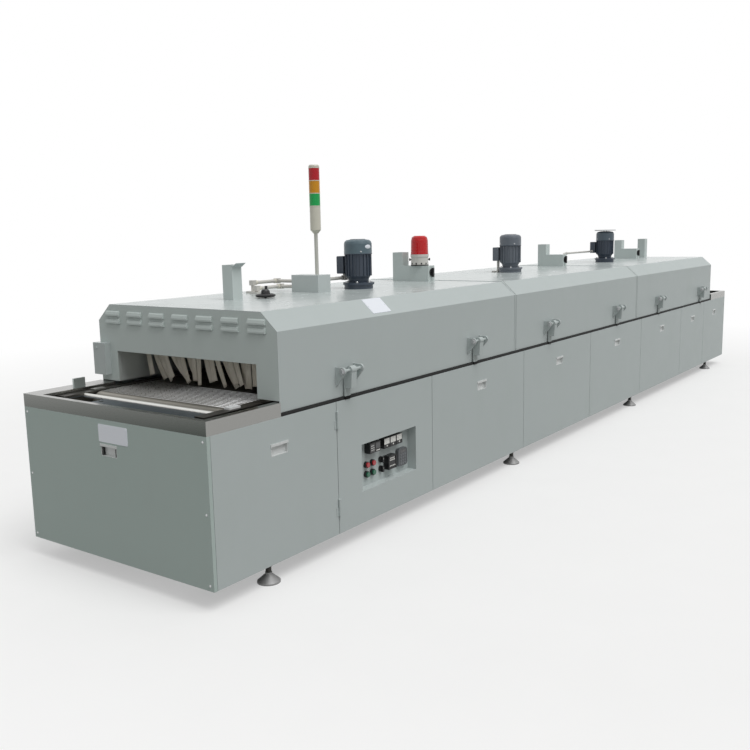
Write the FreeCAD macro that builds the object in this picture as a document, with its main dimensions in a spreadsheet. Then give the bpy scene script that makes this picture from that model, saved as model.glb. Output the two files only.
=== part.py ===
# Conveyor tunnel oven: a long cabinet on levelling feet, a mesh belt that runs through a tunnel,
# and three hood sections that swing up on hinges along the control side.
# X runs along the belt from the inlet to the outlet, the control side faces -Y, Z is up.
# The origin is on the floor, in the middle of the base.
import FreeCAD, Part
import math
import os

import Sketcher

V = FreeCAD.Vector

# Driving sizes in millimetres
SIZES = [
    ("inlet_length", 480),
    ("outlet_length", 600),
    ("section_length", 2440),
    ("body_width", 1336),
    ("panel_bottom", 100),
    ("panel_height", 700),
    ("panel_fold", 20),
    ("panel_gap", 4),
    ("sheet_thickness", 2),
    ("door_start", 893),
    ("door_width", 915),
    ("panel_pitch", 1220),
    ("pull_length", 115),
    ("pull_height", 55),
    ("pull_depth", 16),
    ("pull_drop", 150),
    ("tube_side", 60),
    ("tube_wall", 3),
    ("foot_inset_inlet", 400),
    ("foot_second", 2940),
    ("foot_third", 5350),
    ("foot_inset_outlet", 556),
    ("foot_pad_radius", 57),
    ("foot_pad_height", 16),
    ("foot_stem_radius", 13),
    ("foot_nut_width", 36),
    ("foot_nut_height", 20),
    ("rim_height", 67),
    ("rim_front", 30),
    ("rim_side", 123),
    ("rim_control_side", 40),
    ("table_shelf_reach", 217),
    ("stop_length", 70),
    ("stop_thickness", 12),
    ("stop_height", 50),
    ("stop_inset", 230),
    ("belt_width", 930),
    ("belt_thickness", 5),
    ("belt_drop", 19),
    ("roller_radius", 60),
    ("roller_inset", 330),
    ("shaft_radius", 15),
    ("conveyor_rail_width", 60),
    ("conveyor_rail_height", 50),
    ("conveyor_rail_inset", 110),
    ("belt_side_gap", 15),
    ("transfer_bar_radius", 12),
    ("transfer_bar_inset", 235),
    ("transfer_plate_reach", 105),
    ("transfer_plate_drop", 10),
    ("transfer_plate_window", 180),
    ("transfer_plate_hole", 12),
    ("bearing_width", 90),
    ("bearing_thickness", 34),
    ("sprocket_radius", 52),
    ("sprocket_width", 12),
    ("chain_thickness", 9),
    ("chain_drop", 430),
    ("gearbox_side", 170),
    ("gearbox_width", 150),
    ("drive_motor_radius", 75),
    ("drive_motor_length", 250),
    ("tray_depth", 120),
    ("tray_insulation", 45),
    ("tray_top_drop", 30),
    ("heater_radius", 7),
    ("wall_height", 400),
    ("chamfer_rise", 90),
    ("chamfer_run", 100),
    ("hood_inset", 12),
    ("hood_skin", 3),
    ("seam_gap", 6),
    ("hinge_first_inlet", 508),
    ("hinge_first", 535),
    ("hinge_first_outlet", 600),
    ("hinge_second_inlet", 1848),
    ("hinge_second_middle", 1920),
    ("hinge_second_outlet", 2015),
    ("ear_spacing", 150),
    ("ear_thickness", 12),
    ("ear_reach", 44),
    ("ear_rise", 150),
    ("ear_boss_radius", 20),
    ("hinge_pin_radius", 8),
    ("lug_width", 44),
    ("lug_gap", 8),
    ("lug_thickness", 8),
    ("lug_ledge_rise", 56),
    ("handle_rise", 112),
    ("mouth_width", 1030),
    ("mouth_top", 237),
    ("tunnel_rise", 262),
    ("lining_height", 90),
    ("louvre_width", 112),
    ("louvre_height", 27),
    ("louvre_depth", 11),
    ("louvre_spread", 1172),
    ("louvre_drop", 13),
    ("louvre_row_pitch", 41),
    ("curtain_setback", 180),
    ("curtain_rail_side", 20),
    ("strip_width", 42),
    ("strip_thickness", 2),
    ("strip_layer_pitch", 5),
    ("strip_clearance", 26),
    ("handle_reach", 55),
    ("handle_length", 180),
    ("handle_radius", 9),
    ("motor_first", 1999),
    ("motor_pitch", 2124),
    ("motor_radius", 87),
    ("motor_body_height", 138),
    ("motor_cowl_height", 92),
    ("motor_bell_height", 42),
    ("motor_flange_radius", 100),
    ("motor_flange_height", 14),
    ("motor_ring_height", 26),
    ("terminal_box_side", 90),
    ("terminal_box_height", 112),
    ("terminal_box_depth", 52),
    ("fan_shaft_radius", 12),
    ("fan_radius", 150),
    ("fan_height", 42),
    ("fan_drop", 14),
    ("duct_side", 83),
    ("duct_length", 304),
    ("duct_length_later", 256),
    ("duct_low_height", 111),
    ("duct_stack_height", 206),
    ("duct_wall", 2),
    ("duct_centre", 110),
    ("duct_centre_outlet", 545),
    ("duct_front", 43),
    ("outlet_stack_centre", 200),
    ("inlet_stack_offset", 472),
    ("inlet_stack_front", 87),
    ("inlet_stack_side", 75),
    ("outlet_stack_front", 30),
    ("outlet_stack_height", 213),
    ("flap_length", 32),
    ("flap_open_angle", 145),
    ("flap_thickness", 2),
    ("flap_barrel_radius", 4),
    ("handwheel_offset", 670),
    ("handwheel_side", 27),
    ("handwheel_rise", 6),
    ("spindle_radius", 8),
    ("junction_offset", 1109),
    ("pole_side", 85),
    ("pole_inset", 24),
    ("beacon_side", 55),
    ("motor_fin_depth", 8),
    ("rain_cap_radius", 105),
    ("switch_box_width", 99),
    ("switch_box_height", 175),
    ("switch_box_depth", 38),
    ("switch_box_overhang", 17),
    ("switch_box_rise", 34),
    ("knob_radius", 26),
    ("knob_length", 22),
    ("inlet_stack_height", 193),
    ("handwheel_radius", 57),
    ("junction_length", 212),
    ("junction_width", 120),
    ("junction_height", 105),
    ("pole_radius", 11.5),
    ("pole_length", 250),
    ("tower_radius", 33),
    ("tower_body_height", 165),
    ("lens_height", 76),
    ("tower_cap_height", 18),
    ("beacon_radius", 65),
    ("beacon_base_height", 81),
    ("beacon_dome_height", 131),
    ("conduit_radius", 11),
    ("conduit_high_run", 227),
    ("conduit_high_side", 400),
    ("conduit_high_rise", 62),
    ("conduit_low_run", 220),
    ("conduit_low_side", 330),
    ("conduit_low_rise", 32),
    ("control_tray_length", 530),
    ("control_tray_height", 262),
    ("control_tray_depth", 60),
    ("control_tray_start", 205),
    ("control_tray_bottom", 172),
    ("meter_side", 58),
    ("meter_depth", 36),
    ("meter_row", 212),
    ("meter_first", 268),
    ("meter_pitch", 61),
    ("wide_meter_length", 100),
    ("wide_meter_offset", 154),
    ("button_first", 109),
    ("button_pitch", 56),
    ("button_upper_row", 119),
    ("button_lower_row", 65),
    ("selector_offset", 246),
    ("controller_side", 78),
    ("controller_offset", 318),
    ("keypad_width", 90),
    ("keypad_height", 102),
    ("keypad_depth", 22),
    ("keypad_offset", 445),
    ("device_row", 92),
    ("door_barrel_radius", 7),
    ("door_barrel_length", 45),
    ("door_pin_radius", 3),
    ("button_radius", 14),
    ("button_travel", 5),
    ("selector_radius", 17),
    ("fit_clearance", 0.05),
    ("curve_clearance", 0.3),
]

doc = FreeCAD.newDocument("tunnel_oven")
sheet = doc.addObject("Spreadsheet::Sheet", "Sizes")
for row, (alias, number) in enumerate(SIZES, start=1):
    sheet.set(f"A{row}", alias)
    sheet.set(f"B{row}", str(number))
    sheet.setAlias(f"B{row}", alias)
doc.recompute()


class Size:
    """A length: its number in millimetres and the formula that ties it to the sheet."""

    def __init__(self, number, formula):
        self.number = number
        self.formula = formula

    def __add__(self, other):
        other = size(other)
        return Size(self.number + other.number, f"({self.formula} + {other.formula})")

    def __sub__(self, other):
        other = size(other)
        return Size(self.number - other.number, f"({self.formula} - {other.formula})")

    def __mul__(self, factor):
        factor = size(factor)
        return Size(self.number * factor.number, f"({self.formula} * {factor.formula})")

    def __truediv__(self, factor):
        factor = size(factor)
        return Size(self.number / factor.number, f"({self.formula} / {factor.formula})")

    def __neg__(self):
        return self * -1

    def __radd__(self, other):
        return size(other) + self

    def __rsub__(self, other):
        return size(other) - self

    def __rmul__(self, factor):
        return self * factor


def size(value):
    """A sheet size by its name, or a plain number."""
    if isinstance(value, Size):
        return value
    if isinstance(value, str):
        return Size(float(sheet.get(value)), f"Sizes.{value}")
    return Size(float(value), f"({value})")


def measure(thing, prop, value):
    """Gives a property its size and binds it to the sheet."""
    value = size(value)
    setattr(thing, prop, value.number)
    if "Sizes." in value.formula:
        thing.setExpression(prop, value.formula)


def place(thing, at, turn=None):
    """Puts a piece at a point that follows the sheet."""
    at = [size(value) for value in at]
    corner = V(*(value.number for value in at))
    thing.Placement = FreeCAD.Placement(corner, turn or FreeCAD.Rotation())
    for letter, value in zip("xyz", at):
        if "Sizes." in value.formula:
            thing.setExpression(f"Placement.Base.{letter}", value.formula)
    return thing


AXIS_TURN = {
    "x": FreeCAD.Rotation(V(0, 1, 0), 90),
    "y": FreeCAD.Rotation(V(1, 0, 0), -90),
    "z": FreeCAD.Rotation(),
}


def block(at, span, label="block"):
    """A rectangular block from its lowest corner."""
    thing = doc.addObject("Part::Box", label)
    for prop, value in zip(("Length", "Width", "Height"), span):
        measure(thing, prop, value)
    return place(thing, at)


def rod(at, radius, length, axis="z", label="rod"):
    """A round bar from the middle of its first end along an axis."""
    thing = doc.addObject("Part::Cylinder", label)
    measure(thing, "Radius", radius)
    measure(thing, "Height", length)
    return place(thing, at, AXIS_TURN[axis])


def group(pieces, label="group"):
    """Separate solids kept side by side."""
    thing = doc.addObject("Part::Compound", label)
    thing.Links = pieces
    return thing


def cut(base, *tools, label="cut"):
    """A piece with other forms taken out of it."""
    thing = doc.addObject("Part::Cut", label)
    thing.Base = base
    thing.Tool = tools[0] if len(tools) == 1 else group(list(tools), label + "_tools")
    return thing


def weld(*pieces, label="weld"):
    """Pieces joined into one solid."""
    thing = doc.addObject("Part::MultiFuse", label)
    thing.Shapes = list(pieces)
    thing.Refine = True
    return thing


def origin_plane(body, role):
    return next(plane for plane in body.Origin.OriginFeatures if plane.Role == role)


def draw(sketch, points):
    """A closed outline whose corners are held at sizes from the sheet."""
    points = [(size(across), size(up)) for across, up in points]
    corners = [V(across.number, up.number, 0) for across, up in points]
    first = sketch.GeometryCount
    count = len(corners)
    for index in range(count):
        line = Part.LineSegment(corners[index], corners[(index + 1) % count])
        sketch.addGeometry(line, False)
    for index in range(count):
        following = first + (index + 1) % count
        sketch.addConstraint(Sketcher.Constraint("Coincident", first + index, 2, following, 1))
    for index, pair in enumerate(points):
        for kind, value in zip(("DistanceX", "DistanceY"), pair):
            held = sketch.addConstraint(
                Sketcher.Constraint(kind, -1, 1, first + index, 1, value.number)
            )
            if "Sizes." in value.formula:
                sketch.setExpression(f"Constraints[{held}]", value.formula)


def sketch_on(body, role, outlines):
    sketch = body.newObject("Sketcher::SketchObject", body.Name + "_sketch")
    sketch.AttachmentSupport = [(origin_plane(body, role), "")]
    sketch.MapMode = "FlatFace"
    for outline in outlines:
        draw(sketch, outline)
    return sketch


def padded(role, outlines, depth, at, label="padded"):
    """An outline, with any holes in it, padded along +X, +Y or +Z."""
    body = doc.addObject("PartDesign::Body", label)
    sketch = sketch_on(body, role, outlines)
    pad = body.newObject("PartDesign::Pad", body.Name + "_pad")
    pad.Profile = sketch
    measure(pad, "Length", depth)
    pad.Reversed = role == "XZ_Plane"
    return place(body, at)


def turned(outline, at, axis="z", label="turned"):
    """A half outline of radius and height turned about its own axis."""
    body = doc.addObject("PartDesign::Body", label)
    sketch = sketch_on(body, "XZ_Plane", [outline])
    turn = body.newObject("PartDesign::Revolution", body.Name + "_turn")
    turn.Profile = sketch
    turn.ReferenceAxis = (sketch, ["V_Axis"])
    turn.Angle = 360
    return place(body, at, AXIS_TURN[axis])


NODES = []


def keep(thing, label):
    """Names a finished sub-part."""
    thing.Label = label
    NODES.append(thing)
    return thing


# Where the main faces stand
SECTIONS = 3
sheet_t = size("sheet_thickness")
fold = size("panel_fold")
tube_side = size("tube_side")
loose = size("curve_clearance")
running = size("fit_clearance")
section = size("section_length")
length = size("inlet_length") + section * SECTIONS + size("outlet_length")
x_in = length / -2
x_out = length / 2
y_front = size("body_width") / -2
y_rear = size("body_width") / 2
z_base = size("panel_bottom")
z_seam = z_base + size("panel_height")
z_rim = z_seam + size("rim_height")
z_hood = z_seam + size("seam_gap")
z_eave = z_seam + size("wall_height")
z_roof = z_eave + size("chamfer_rise")
x_hoods = [x_in + size("inlet_length") + section * index for index in range(SECTIONS)]
SIDES = (-1, 1)


def mirrored_start(side, near, span):
    """Where a span starts that begins at a distance from the middle, on either side."""
    return near if side > 0 else (near + span) * -1


# Base frame of square tube
def square_tube(at, span, axis):
    """A square tube that is open at both ends along one axis."""
    wall = size("tube_wall")
    hole_at = []
    hole_span = []
    for letter, start, reach in zip("xyz", at, span):
        along = letter == axis
        hole_at.append(start if along else start + wall)
        hole_span.append(reach if along else reach - wall * 2)
    return cut(block(at, span), block(hole_at, hole_span))


rail_near = y_rear - fold - tube_side
rail_length = length - fold * 2
foot_first = x_in + size("foot_inset_inlet")
foot_last = x_out - size("foot_inset_outlet")
foot_x = [foot_first, x_in + size("foot_second"), x_in + size("foot_third"), foot_last]
foot_y = [(rail_near + tube_side / 2) * side for side in SIDES]

rails = []
for side in SIDES:
    rail_y = mirrored_start(side, rail_near, tube_side)
    stem_holes = [
        rod(
            (x, foot_y[SIDES.index(side)], z_base - 1),
            size("foot_stem_radius") + loose,
            size("tube_wall") + 2,
        )
        for x in foot_x
    ]
    lower = square_tube((x_in + fold, rail_y, z_base), (rail_length, tube_side, tube_side), "x")
    rails.append(cut(lower, *stem_holes))
    upper_at = (x_in + fold, rail_y, z_seam - tube_side)
    rails.append(square_tube(upper_at, (rail_length, tube_side, tube_side), "x"))
keep(group(rails), "base_rails")

portals = []
cross_height = tube_side * 2 / 3
for x in foot_x:
    for side in SIDES:
        post_at = (x - tube_side / 2, mirrored_start(side, rail_near, tube_side), z_base + tube_side)
        post_span = (tube_side, tube_side, size("panel_height") - tube_side * 2)
        portals.append(square_tube(post_at, post_span, "z"))
    portals.append(
        square_tube(
            (x - tube_side / 2, -rail_near, z_base), (tube_side, rail_near * 2, tube_side), "y"
        )
    )
for start in x_hoods:
    for share in (0.25, 0.75):
        portals.append(
            square_tube(
                (start + section * share - cross_height / 2, -rail_near, z_seam - cross_height),
                (cross_height, rail_near * 2, cross_height),
                "y",
            )
        )
keep(group(portals), "base_portals")

# Levelling feet and their lock nuts
stem_r = size("foot_stem_radius")
pad_r = size("foot_pad_radius")
pad_h = size("foot_pad_height")
stem_top = z_base + size("tube_wall") * 8
nut_h = size("foot_nut_height")
nut_corner = size("foot_nut_width") / math.sqrt(3)
feet = []
for x in foot_x:
    for y in foot_y:
        foot = [
            (0, 0),
            (pad_r, 0),
            (pad_r, pad_h / 2),
            (stem_r * 1.3, pad_h * 2.7),
            (stem_r * 1.3, pad_h * 3.2),
            (stem_r, pad_h * 3.2),
            (stem_r, stem_top),
            (0, stem_top),
        ]
        feet.append(turned(foot, (x, y, 0), label="foot"))
        hexagon = [
            (nut_corner * math.cos(math.radians(60 * k)), nut_corner * math.sin(math.radians(60 * k)))
            for k in range(6)
        ]
        nut = padded("XY_Plane", [hexagon], nut_h, (x, y, z_base - nut_h), "nut")
        feet.append(cut(nut, rod((x, y, z_base - nut_h - 1), stem_r + loose, nut_h + 2)))
keep(group(feet), "levelling_feet")

# Cabinet panels: folded sheet, open towards the frame
pull_l = size("pull_length")
pull_h = size("pull_height")
pull_z = z_seam - size("pull_drop") - pull_h / 2


def side_panel(side, start, end, windows):
    """A folded panel on one long side, from start to end, with windows cut in its face."""
    gap = size("panel_gap")
    panel_y = y_front if side < 0 else y_rear - fold
    span = (end - start - gap, fold, size("panel_height"))
    outer = block((start + gap / 2, panel_y, z_base), span)
    hollow_at = (
        start + gap / 2 + sheet_t,
        panel_y + sheet_t if side < 0 else panel_y,
        z_base + sheet_t,
    )
    hollow = block(hollow_at, (span[0] - sheet_t * 2, fold - sheet_t, span[2] - sheet_t * 2))
    face_y = y_front - 1 if side < 0 else y_rear - sheet_t - 1
    cuts = [block((x, face_y, z), (wide, sheet_t + 2, high)) for x, z, wide, high in windows]
    return cut(cut(outer, hollow), *cuts) if cuts else cut(outer, hollow)


def pull_cup(middle):
    """A recessed pull with a lip along its top edge, in a panel of the control side."""
    depth = size("pull_depth")
    lip = sheet_t * 2
    cup = block((middle - pull_l / 2, y_front, pull_z), (pull_l, depth, pull_h))
    hollow = block(
        (middle - pull_l / 2 + sheet_t, y_front, pull_z + sheet_t),
        (pull_l - sheet_t * 2, depth - sheet_t, pull_h - sheet_t * 2),
    )
    edge = block(
        (middle - pull_l / 2 - lip, y_front - lip, pull_z + pull_h - lip * 2),
        (pull_l + lip * 2, lip, lip * 3),
    )
    return weld(cut(cup, hollow), edge)


door_x = x_in + size("door_start")
door_end = door_x + size("door_width")
pitch = size("panel_pitch")
FULL_PANELS = 4
edges = [door_end + pitch * index for index in range(FULL_PANELS + 1)]
edges += [(edges[-1] + x_out - fold) / 2, x_out - fold]
front_spans = [(x_in + fold, door_x)] + list(zip(edges[:-1], edges[1:]))
rear_pitch = rail_length / len(front_spans)
rear_edges = [x_in + fold + rear_pitch * index for index in range(len(front_spans) + 1)]
rear_spans = list(zip(rear_edges[:-1], rear_edges[1:]))
pulls = []
for side, spans, label in ((-1, front_spans, "front_side_panels"), (1, rear_spans, "rear_side_panels")):
    panels = []
    for start, end in spans:
        middle = (start + end) / 2
        windows = [(middle - pull_l / 2, pull_z, pull_l, pull_h)] if side < 0 else []
        panels.append(side_panel(side, start, end, windows))
        if side < 0:
            pulls.append(pull_cup(middle))
    keep(group(panels), label)

ends = []
for side in SIDES:
    panel_x = x_in if side < 0 else x_out - fold
    outer = block((panel_x, y_front, z_base), (fold, size("body_width"), size("panel_height")))
    hollow = block(
        (panel_x + sheet_t if side < 0 else panel_x, y_front + sheet_t, z_base + sheet_t),
        (fold - sheet_t, size("body_width") - sheet_t * 2, size("panel_height") - sheet_t * 2),
    )
    window_x = x_in - 1 if side < 0 else x_out - sheet_t - 1
    window = block((window_x, pull_l / -2, pull_z), (sheet_t + 2, pull_l, pull_h))
    ends.append(cut(cut(outer, hollow), window))
    depth = size("pull_depth")
    lip = sheet_t * 2
    cup = block((x_in if side < 0 else x_out - depth, pull_l / -2, pull_z), (depth, pull_l, pull_h))
    hollow_x = x_in if side < 0 else x_out - depth + sheet_t
    hollow = block(
        (hollow_x, pull_l / -2 + sheet_t, pull_z + sheet_t),
        (depth - sheet_t, pull_l - sheet_t * 2, pull_h - sheet_t * 2),
    )
    edge = block(
        (x_in - lip if side < 0 else x_out, pull_l / -2 - lip, pull_z + pull_h - lip * 2),
        (lip, pull_l + lip * 2, lip * 3),
    )
    pulls.append(weld(cut(cup, hollow), edge))
keep(group(ends), "end_panels")
keep(group(pulls), "panel_pulls")

# Control door with its recessed tray
tray_l = size("control_tray_length")
tray_h = size("control_tray_height")
tray_d = size("control_tray_depth")
tray_x = door_x + size("control_tray_start")
tray_z = z_base + size("control_tray_bottom")
tray_back = y_front + tray_d - sheet_t
barrel_r = size("door_barrel_radius")
barrel_l = size("door_barrel_length")
door_pin_r = size("door_pin_radius")
barrel_y = y_front - barrel_r
leaf_l = barrel_r * 3
BARREL_SHARES = (0.14, 0.8)


def hinge_barrel(z, side, bore):
    """Half of a lift-off hinge: a barrel over the joint with a leaf on one panel's face."""
    solid = rod((door_x, barrel_y, z), barrel_r, barrel_l)
    leaf_x = door_x if side > 0 else door_x - leaf_l
    leaf = block((leaf_x, y_front - sheet_t, z), (leaf_l, sheet_t, barrel_l))
    half = weld(solid, leaf)
    return cut(half, rod((door_x, barrel_y, z - 1), bore, barrel_l + 2))


door_face = side_panel(-1, door_x, door_end, [(tray_x, tray_z, tray_l, tray_h)])
fixed_halves = []
door_halves = []
for share in BARREL_SHARES:
    barrel_z = z_base + size("panel_height") * share
    fixed_halves.append(hinge_barrel(barrel_z, -1, door_pin_r + running))
    pin_length = barrel_l * 2 + loose
    fixed_halves.append(rod((door_x, barrel_y, barrel_z), door_pin_r, pin_length))
    door_halves.append(hinge_barrel(barrel_z + barrel_l + loose, 1, door_pin_r + running))
keep(group([door_face] + door_halves), "control_door")
keep(group(fixed_halves), "door_hinges")

tray_outer = block((tray_x, y_front, tray_z), (tray_l, tray_d, tray_h))
tray_hollow = block(
    (tray_x + sheet_t, y_front, tray_z + sheet_t),
    (tray_l - sheet_t * 2, tray_d - sheet_t, tray_h - sheet_t * 2),
)
keep(cut(tray_outer, tray_hollow), "control_tray")

meter = size("meter_side")
meter_d = size("meter_depth")
meter_z = tray_z + size("meter_row") - meter / 2
device_z = tray_z + size("device_row")
AMMETERS = 3
ammeters = []
for index in range(AMMETERS):
    meter_x = tray_x + size("meter_first") + size("meter_pitch") * index - meter / 2
    case = block((meter_x, tray_back - meter_d, meter_z), (meter, meter_d, meter))
    window = block(
        (meter_x + sheet_t * 2, tray_back - meter_d - 1, meter_z + meter * 0.45),
        (meter - sheet_t * 4, sheet_t + 1, meter * 0.5),
    )
    ammeters.append(cut(case, window))
keep(group(ammeters), "ammeters")

wide_l = size("wide_meter_length")
control_side = size("controller_side")
key_w = size("keypad_width")
key_h = size("keypad_height")
key_d = size("keypad_depth")
wide_meter = block(
    (tray_x + size("wide_meter_offset") - wide_l / 2, tray_back - meter_d, meter_z),
    (wide_l, meter_d, meter),
)
controller_x = tray_x + size("controller_offset") - control_side / 2
controller = block(
    (controller_x, tray_back - meter_d, device_z - control_side / 2),
    (control_side, meter_d, control_side),
)
display = block(
    (controller_x + sheet_t * 4, tray_back - meter_d - 1, device_z + control_side * 0.1),
    (control_side - sheet_t * 8, sheet_t / 2 + 1, control_side * 0.28),
)
key_corner = key_w / 8
half_w = key_w / 2
half_h = key_h / 2
keypad_outline = [
    (key_corner - half_w, -half_h),
    (half_w - key_corner, -half_h),
    (half_w, key_corner - half_h),
    (half_w, half_h - key_corner),
    (half_w - key_corner, half_h),
    (key_corner - half_w, half_h),
    (-half_w, half_h - key_corner),
    (-half_w, key_corner - half_h),
]
keypad_at = (tray_x + size("keypad_offset"), tray_back - key_d, device_z)
keypad = padded("XZ_Plane", [keypad_outline], key_d, keypad_at, "keypad_case")
# Push buttons in bezel rings, and rotary selectors beside them
button_r = size("button_radius")
travel = size("button_travel")
bezel_depth = travel * 3
bezels = []
ROWS = (("red", size("button_upper_row")), ("green", size("button_lower_row")))
for colour, row_height in ROWS:
    for index in range(2):
        x = tray_x + size("button_first") + size("button_pitch") * index
        z = tray_z + row_height
        ring = rod((x, tray_back - bezel_depth, z), button_r * 1.3, bezel_depth, "y")
        bore = rod((x, tray_back - bezel_depth - 1, z), button_r + running * 2, bezel_depth + 2, "y")
        bezels.append(cut(ring, bore))
        cap_at = (x, tray_back - bezel_depth - travel * 1.6, z)
        cap = rod(cap_at, button_r, bezel_depth + travel * 0.4, "y")
        keep(cap, f"{colour}_button_{index + 1}")
keep(group([wide_meter, cut(controller, display), keypad] + bezels), "panel_devices")

knob_r = size("selector_radius")
for index, (_, row_height) in enumerate(ROWS):
    x = tray_x + size("selector_offset")
    z = tray_z + row_height
    skirt = rod((x, tray_back - loose - knob_r * 0.7, z), knob_r, knob_r * 0.7, "y")
    grip_at = (x - knob_r * 0.3, tray_back - loose - knob_r * 1.5, z - knob_r)
    grip = block(grip_at, (knob_r * 0.6, knob_r, knob_r * 2))
    keep(weld(skirt, grip), f"selector_knob_{index + 1}")

# Stainless rims of the open tables: a channel round three sides, narrow on the control side
rim_h = size("rim_height")
rim_f = size("rim_front")
rim_s = size("rim_side")
rim_c = size("rim_control_side")


def table_rim(x_end, reach, inward):
    """The rim of one table, from the end of the base towards the hoods."""

    def outline(inset):
        near = inset
        far = reach - inset
        front = rim_f - inset
        edge = y_rear - inset
        inner = y_rear - rim_s + inset
        control = y_rear - rim_c + inset
        return [
            (near * inward, -edge),
            (far * inward, -edge),
            (far * inward, -control),
            (front * inward, -control),
            (front * inward, inner),
            (far * inward, inner),
            (far * inward, edge),
            (near * inward, edge),
        ]

    solid = padded("XY_Plane", [outline(size(0))], rim_h, (x_end, 0, z_seam), "rim")
    hollow = padded("XY_Plane", [outline(sheet_t)], rim_h - sheet_t, (x_end, 0, z_seam), "rim_hollow")
    shelf_l = size("table_shelf_reach")
    shelf_w = size("belt_width") + size("belt_side_gap")
    shelf_from = rim_f - sheet_t
    shelf_x = x_end + shelf_from if inward > 0 else x_end - shelf_from - shelf_l
    shelf = block((shelf_x, shelf_w / -2, z_seam), (shelf_l, shelf_w, sheet_t))
    return weld(cut(solid, hollow), shelf)


table_gap = size("panel_gap")
inlet_rim = table_rim(x_in, size("inlet_length") - table_gap, 1)
outlet_rim = table_rim(x_out, size("outlet_length") - table_gap, -1)
keep(group([inlet_rim, outlet_rim]), "table_rims")

# Conveyor: side rails, transfer plates and bars at the tables, rollers, bearings and the belt
belt_w = size("belt_width")
belt_t = size("belt_thickness")
roller_r = size("roller_radius")
shaft_r = size("shaft_radius")
z_belt = z_rim - size("belt_drop")
z_roller = z_belt - belt_t - loose - roller_r
x_tail = x_in + size("roller_inset")
x_drive = x_out - size("roller_inset")
rail_w = size("conveyor_rail_width")
rail_h = size("conveyor_rail_height")
rail_in = belt_w / 2 + size("belt_side_gap")
rail_x = x_in + size("conveyor_rail_inset")
rail_span = length - size("conveyor_rail_inset") * 2
bar_r = size("transfer_bar_radius")
rail_t = size("tube_wall")
conveyor = []
for side in SIDES:
    start = mirrored_start(side, rail_in, rail_w)
    solid = block((rail_x, start, z_seam), (rail_span, rail_w, rail_h))
    hollow_y = start if side < 0 else start + rail_t
    hollow = block((rail_x, hollow_y, z_seam + rail_t), (rail_span, rail_w - rail_t, rail_h - rail_t * 2))
    conveyor.append(cut(solid, hollow))
for x in (x_in + size("transfer_bar_inset"), x_out - size("transfer_bar_inset")):
    conveyor.append(rod((x, -rail_in, z_belt - bar_r), bar_r, rail_in * 2, "y"))
plate_l = size("transfer_plate_reach")
plate_z = z_belt - size("transfer_plate_drop") - sheet_t
window_l = size("transfer_plate_window")
hole_r = size("transfer_plate_hole")
for plate_x in (rail_x, rail_x + rail_span - plate_l):
    plate = block((plate_x, -rail_in, plate_z), (plate_l, rail_in * 2, sheet_t))
    window_y = rail_in - window_l - hole_r
    window = block((plate_x + hole_r, window_y, plate_z - 1), (plate_l - hole_r * 2, window_l, sheet_t + 2))
    hole = rod((plate_x + plate_l / 2, window_y - hole_r * 3, plate_z - 1), hole_r, sheet_t + 2)
    conveyor.append(cut(plate, window, hole))
stop_t = size("stop_thickness")
stop_at = (x_in + size("stop_inset"), y_rear - rim_s * 0.75 - stop_t, z_rim)
conveyor.append(block(stop_at, (size("stop_length"), stop_t, size("stop_height"))))
keep(group(conveyor), "conveyor_rails")

bear_w = size("bearing_width")
bear_t = size("bearing_thickness")
bear_drop = z_seam - z_roller + shaft_r * 2
bearings = []
for x in (x_tail, x_drive):
    for side in SIDES:
        start = mirrored_start(side, rail_in + (rail_w - bear_t) / 2, bear_t)
        body = block((x - bear_w / 2, start, z_seam - bear_drop), (bear_w, bear_t, bear_drop))
        bore = rod((x, start - 1, z_roller), shaft_r + running, bear_t + 2, "y")
        bearings.append(cut(body, bore))
        cap_x = x - bear_w * 0.4
        cap_y = mirrored_start(side, rail_in, rail_w * 0.6)
        bearings.append(block((cap_x, cap_y, z_seam + rail_h), (bear_w * 0.8, rail_w * 0.6, rail_t * 3)))
keep(group(bearings), "roller_bearings")


def belt_roller(x, reach_front, reach_rear):
    """A belt roller on its shaft, across the oven."""
    face = rod((x, belt_w / -2, z_roller), roller_r, belt_w, "y")
    shaft = rod((x, -reach_front, z_roller), shaft_r, reach_front + reach_rear, "y")
    return weld(face, shaft)


shaft_end = rail_in + rail_w
chain_t = size("chain_thickness")
spr_r = size("sprocket_radius")
spr_w = size("sprocket_width")
spr_y = shaft_end + spr_w
z_gear = z_roller - size("chain_drop")


def sprocket(x, z):
    return rod((x, spr_y, z), spr_r, spr_w, "y")


keep(belt_roller(x_tail, shaft_end, shaft_end), "tail_roller")
drive = belt_roller(x_drive, shaft_end, spr_y + spr_w * 2)
keep(weld(drive, sprocket(x_drive, z_roller)), "drive_roller")


def loop(near_end, far_end, radius, thick, start_y, width):
    """A flat band round two ends of the same radius, in a plane across Y."""

    def track(r, first_y, reach):
        ends_ = [rod((end[0], first_y, end[1]), r, reach, "y") for end in (near_end, far_end)]
        if near_end[1] is far_end[1]:
            middle = block(
                (near_end[0], first_y, near_end[1] - r), (far_end[0] - near_end[0], reach, r * 2)
            )
        else:
            middle = block(
                (far_end[0] - r, first_y, far_end[1]), (r * 2, reach, near_end[1] - far_end[1])
            )
        return weld(middle, *ends_)

    return cut(track(radius + thick, start_y, width), track(radius, start_y - 1, width + 2))


belt_loop = loop((x_tail, z_roller), (x_drive, z_roller), roller_r + loose, belt_t, belt_w / -2, belt_w)
keep(belt_loop, "mesh_belt")

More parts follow.
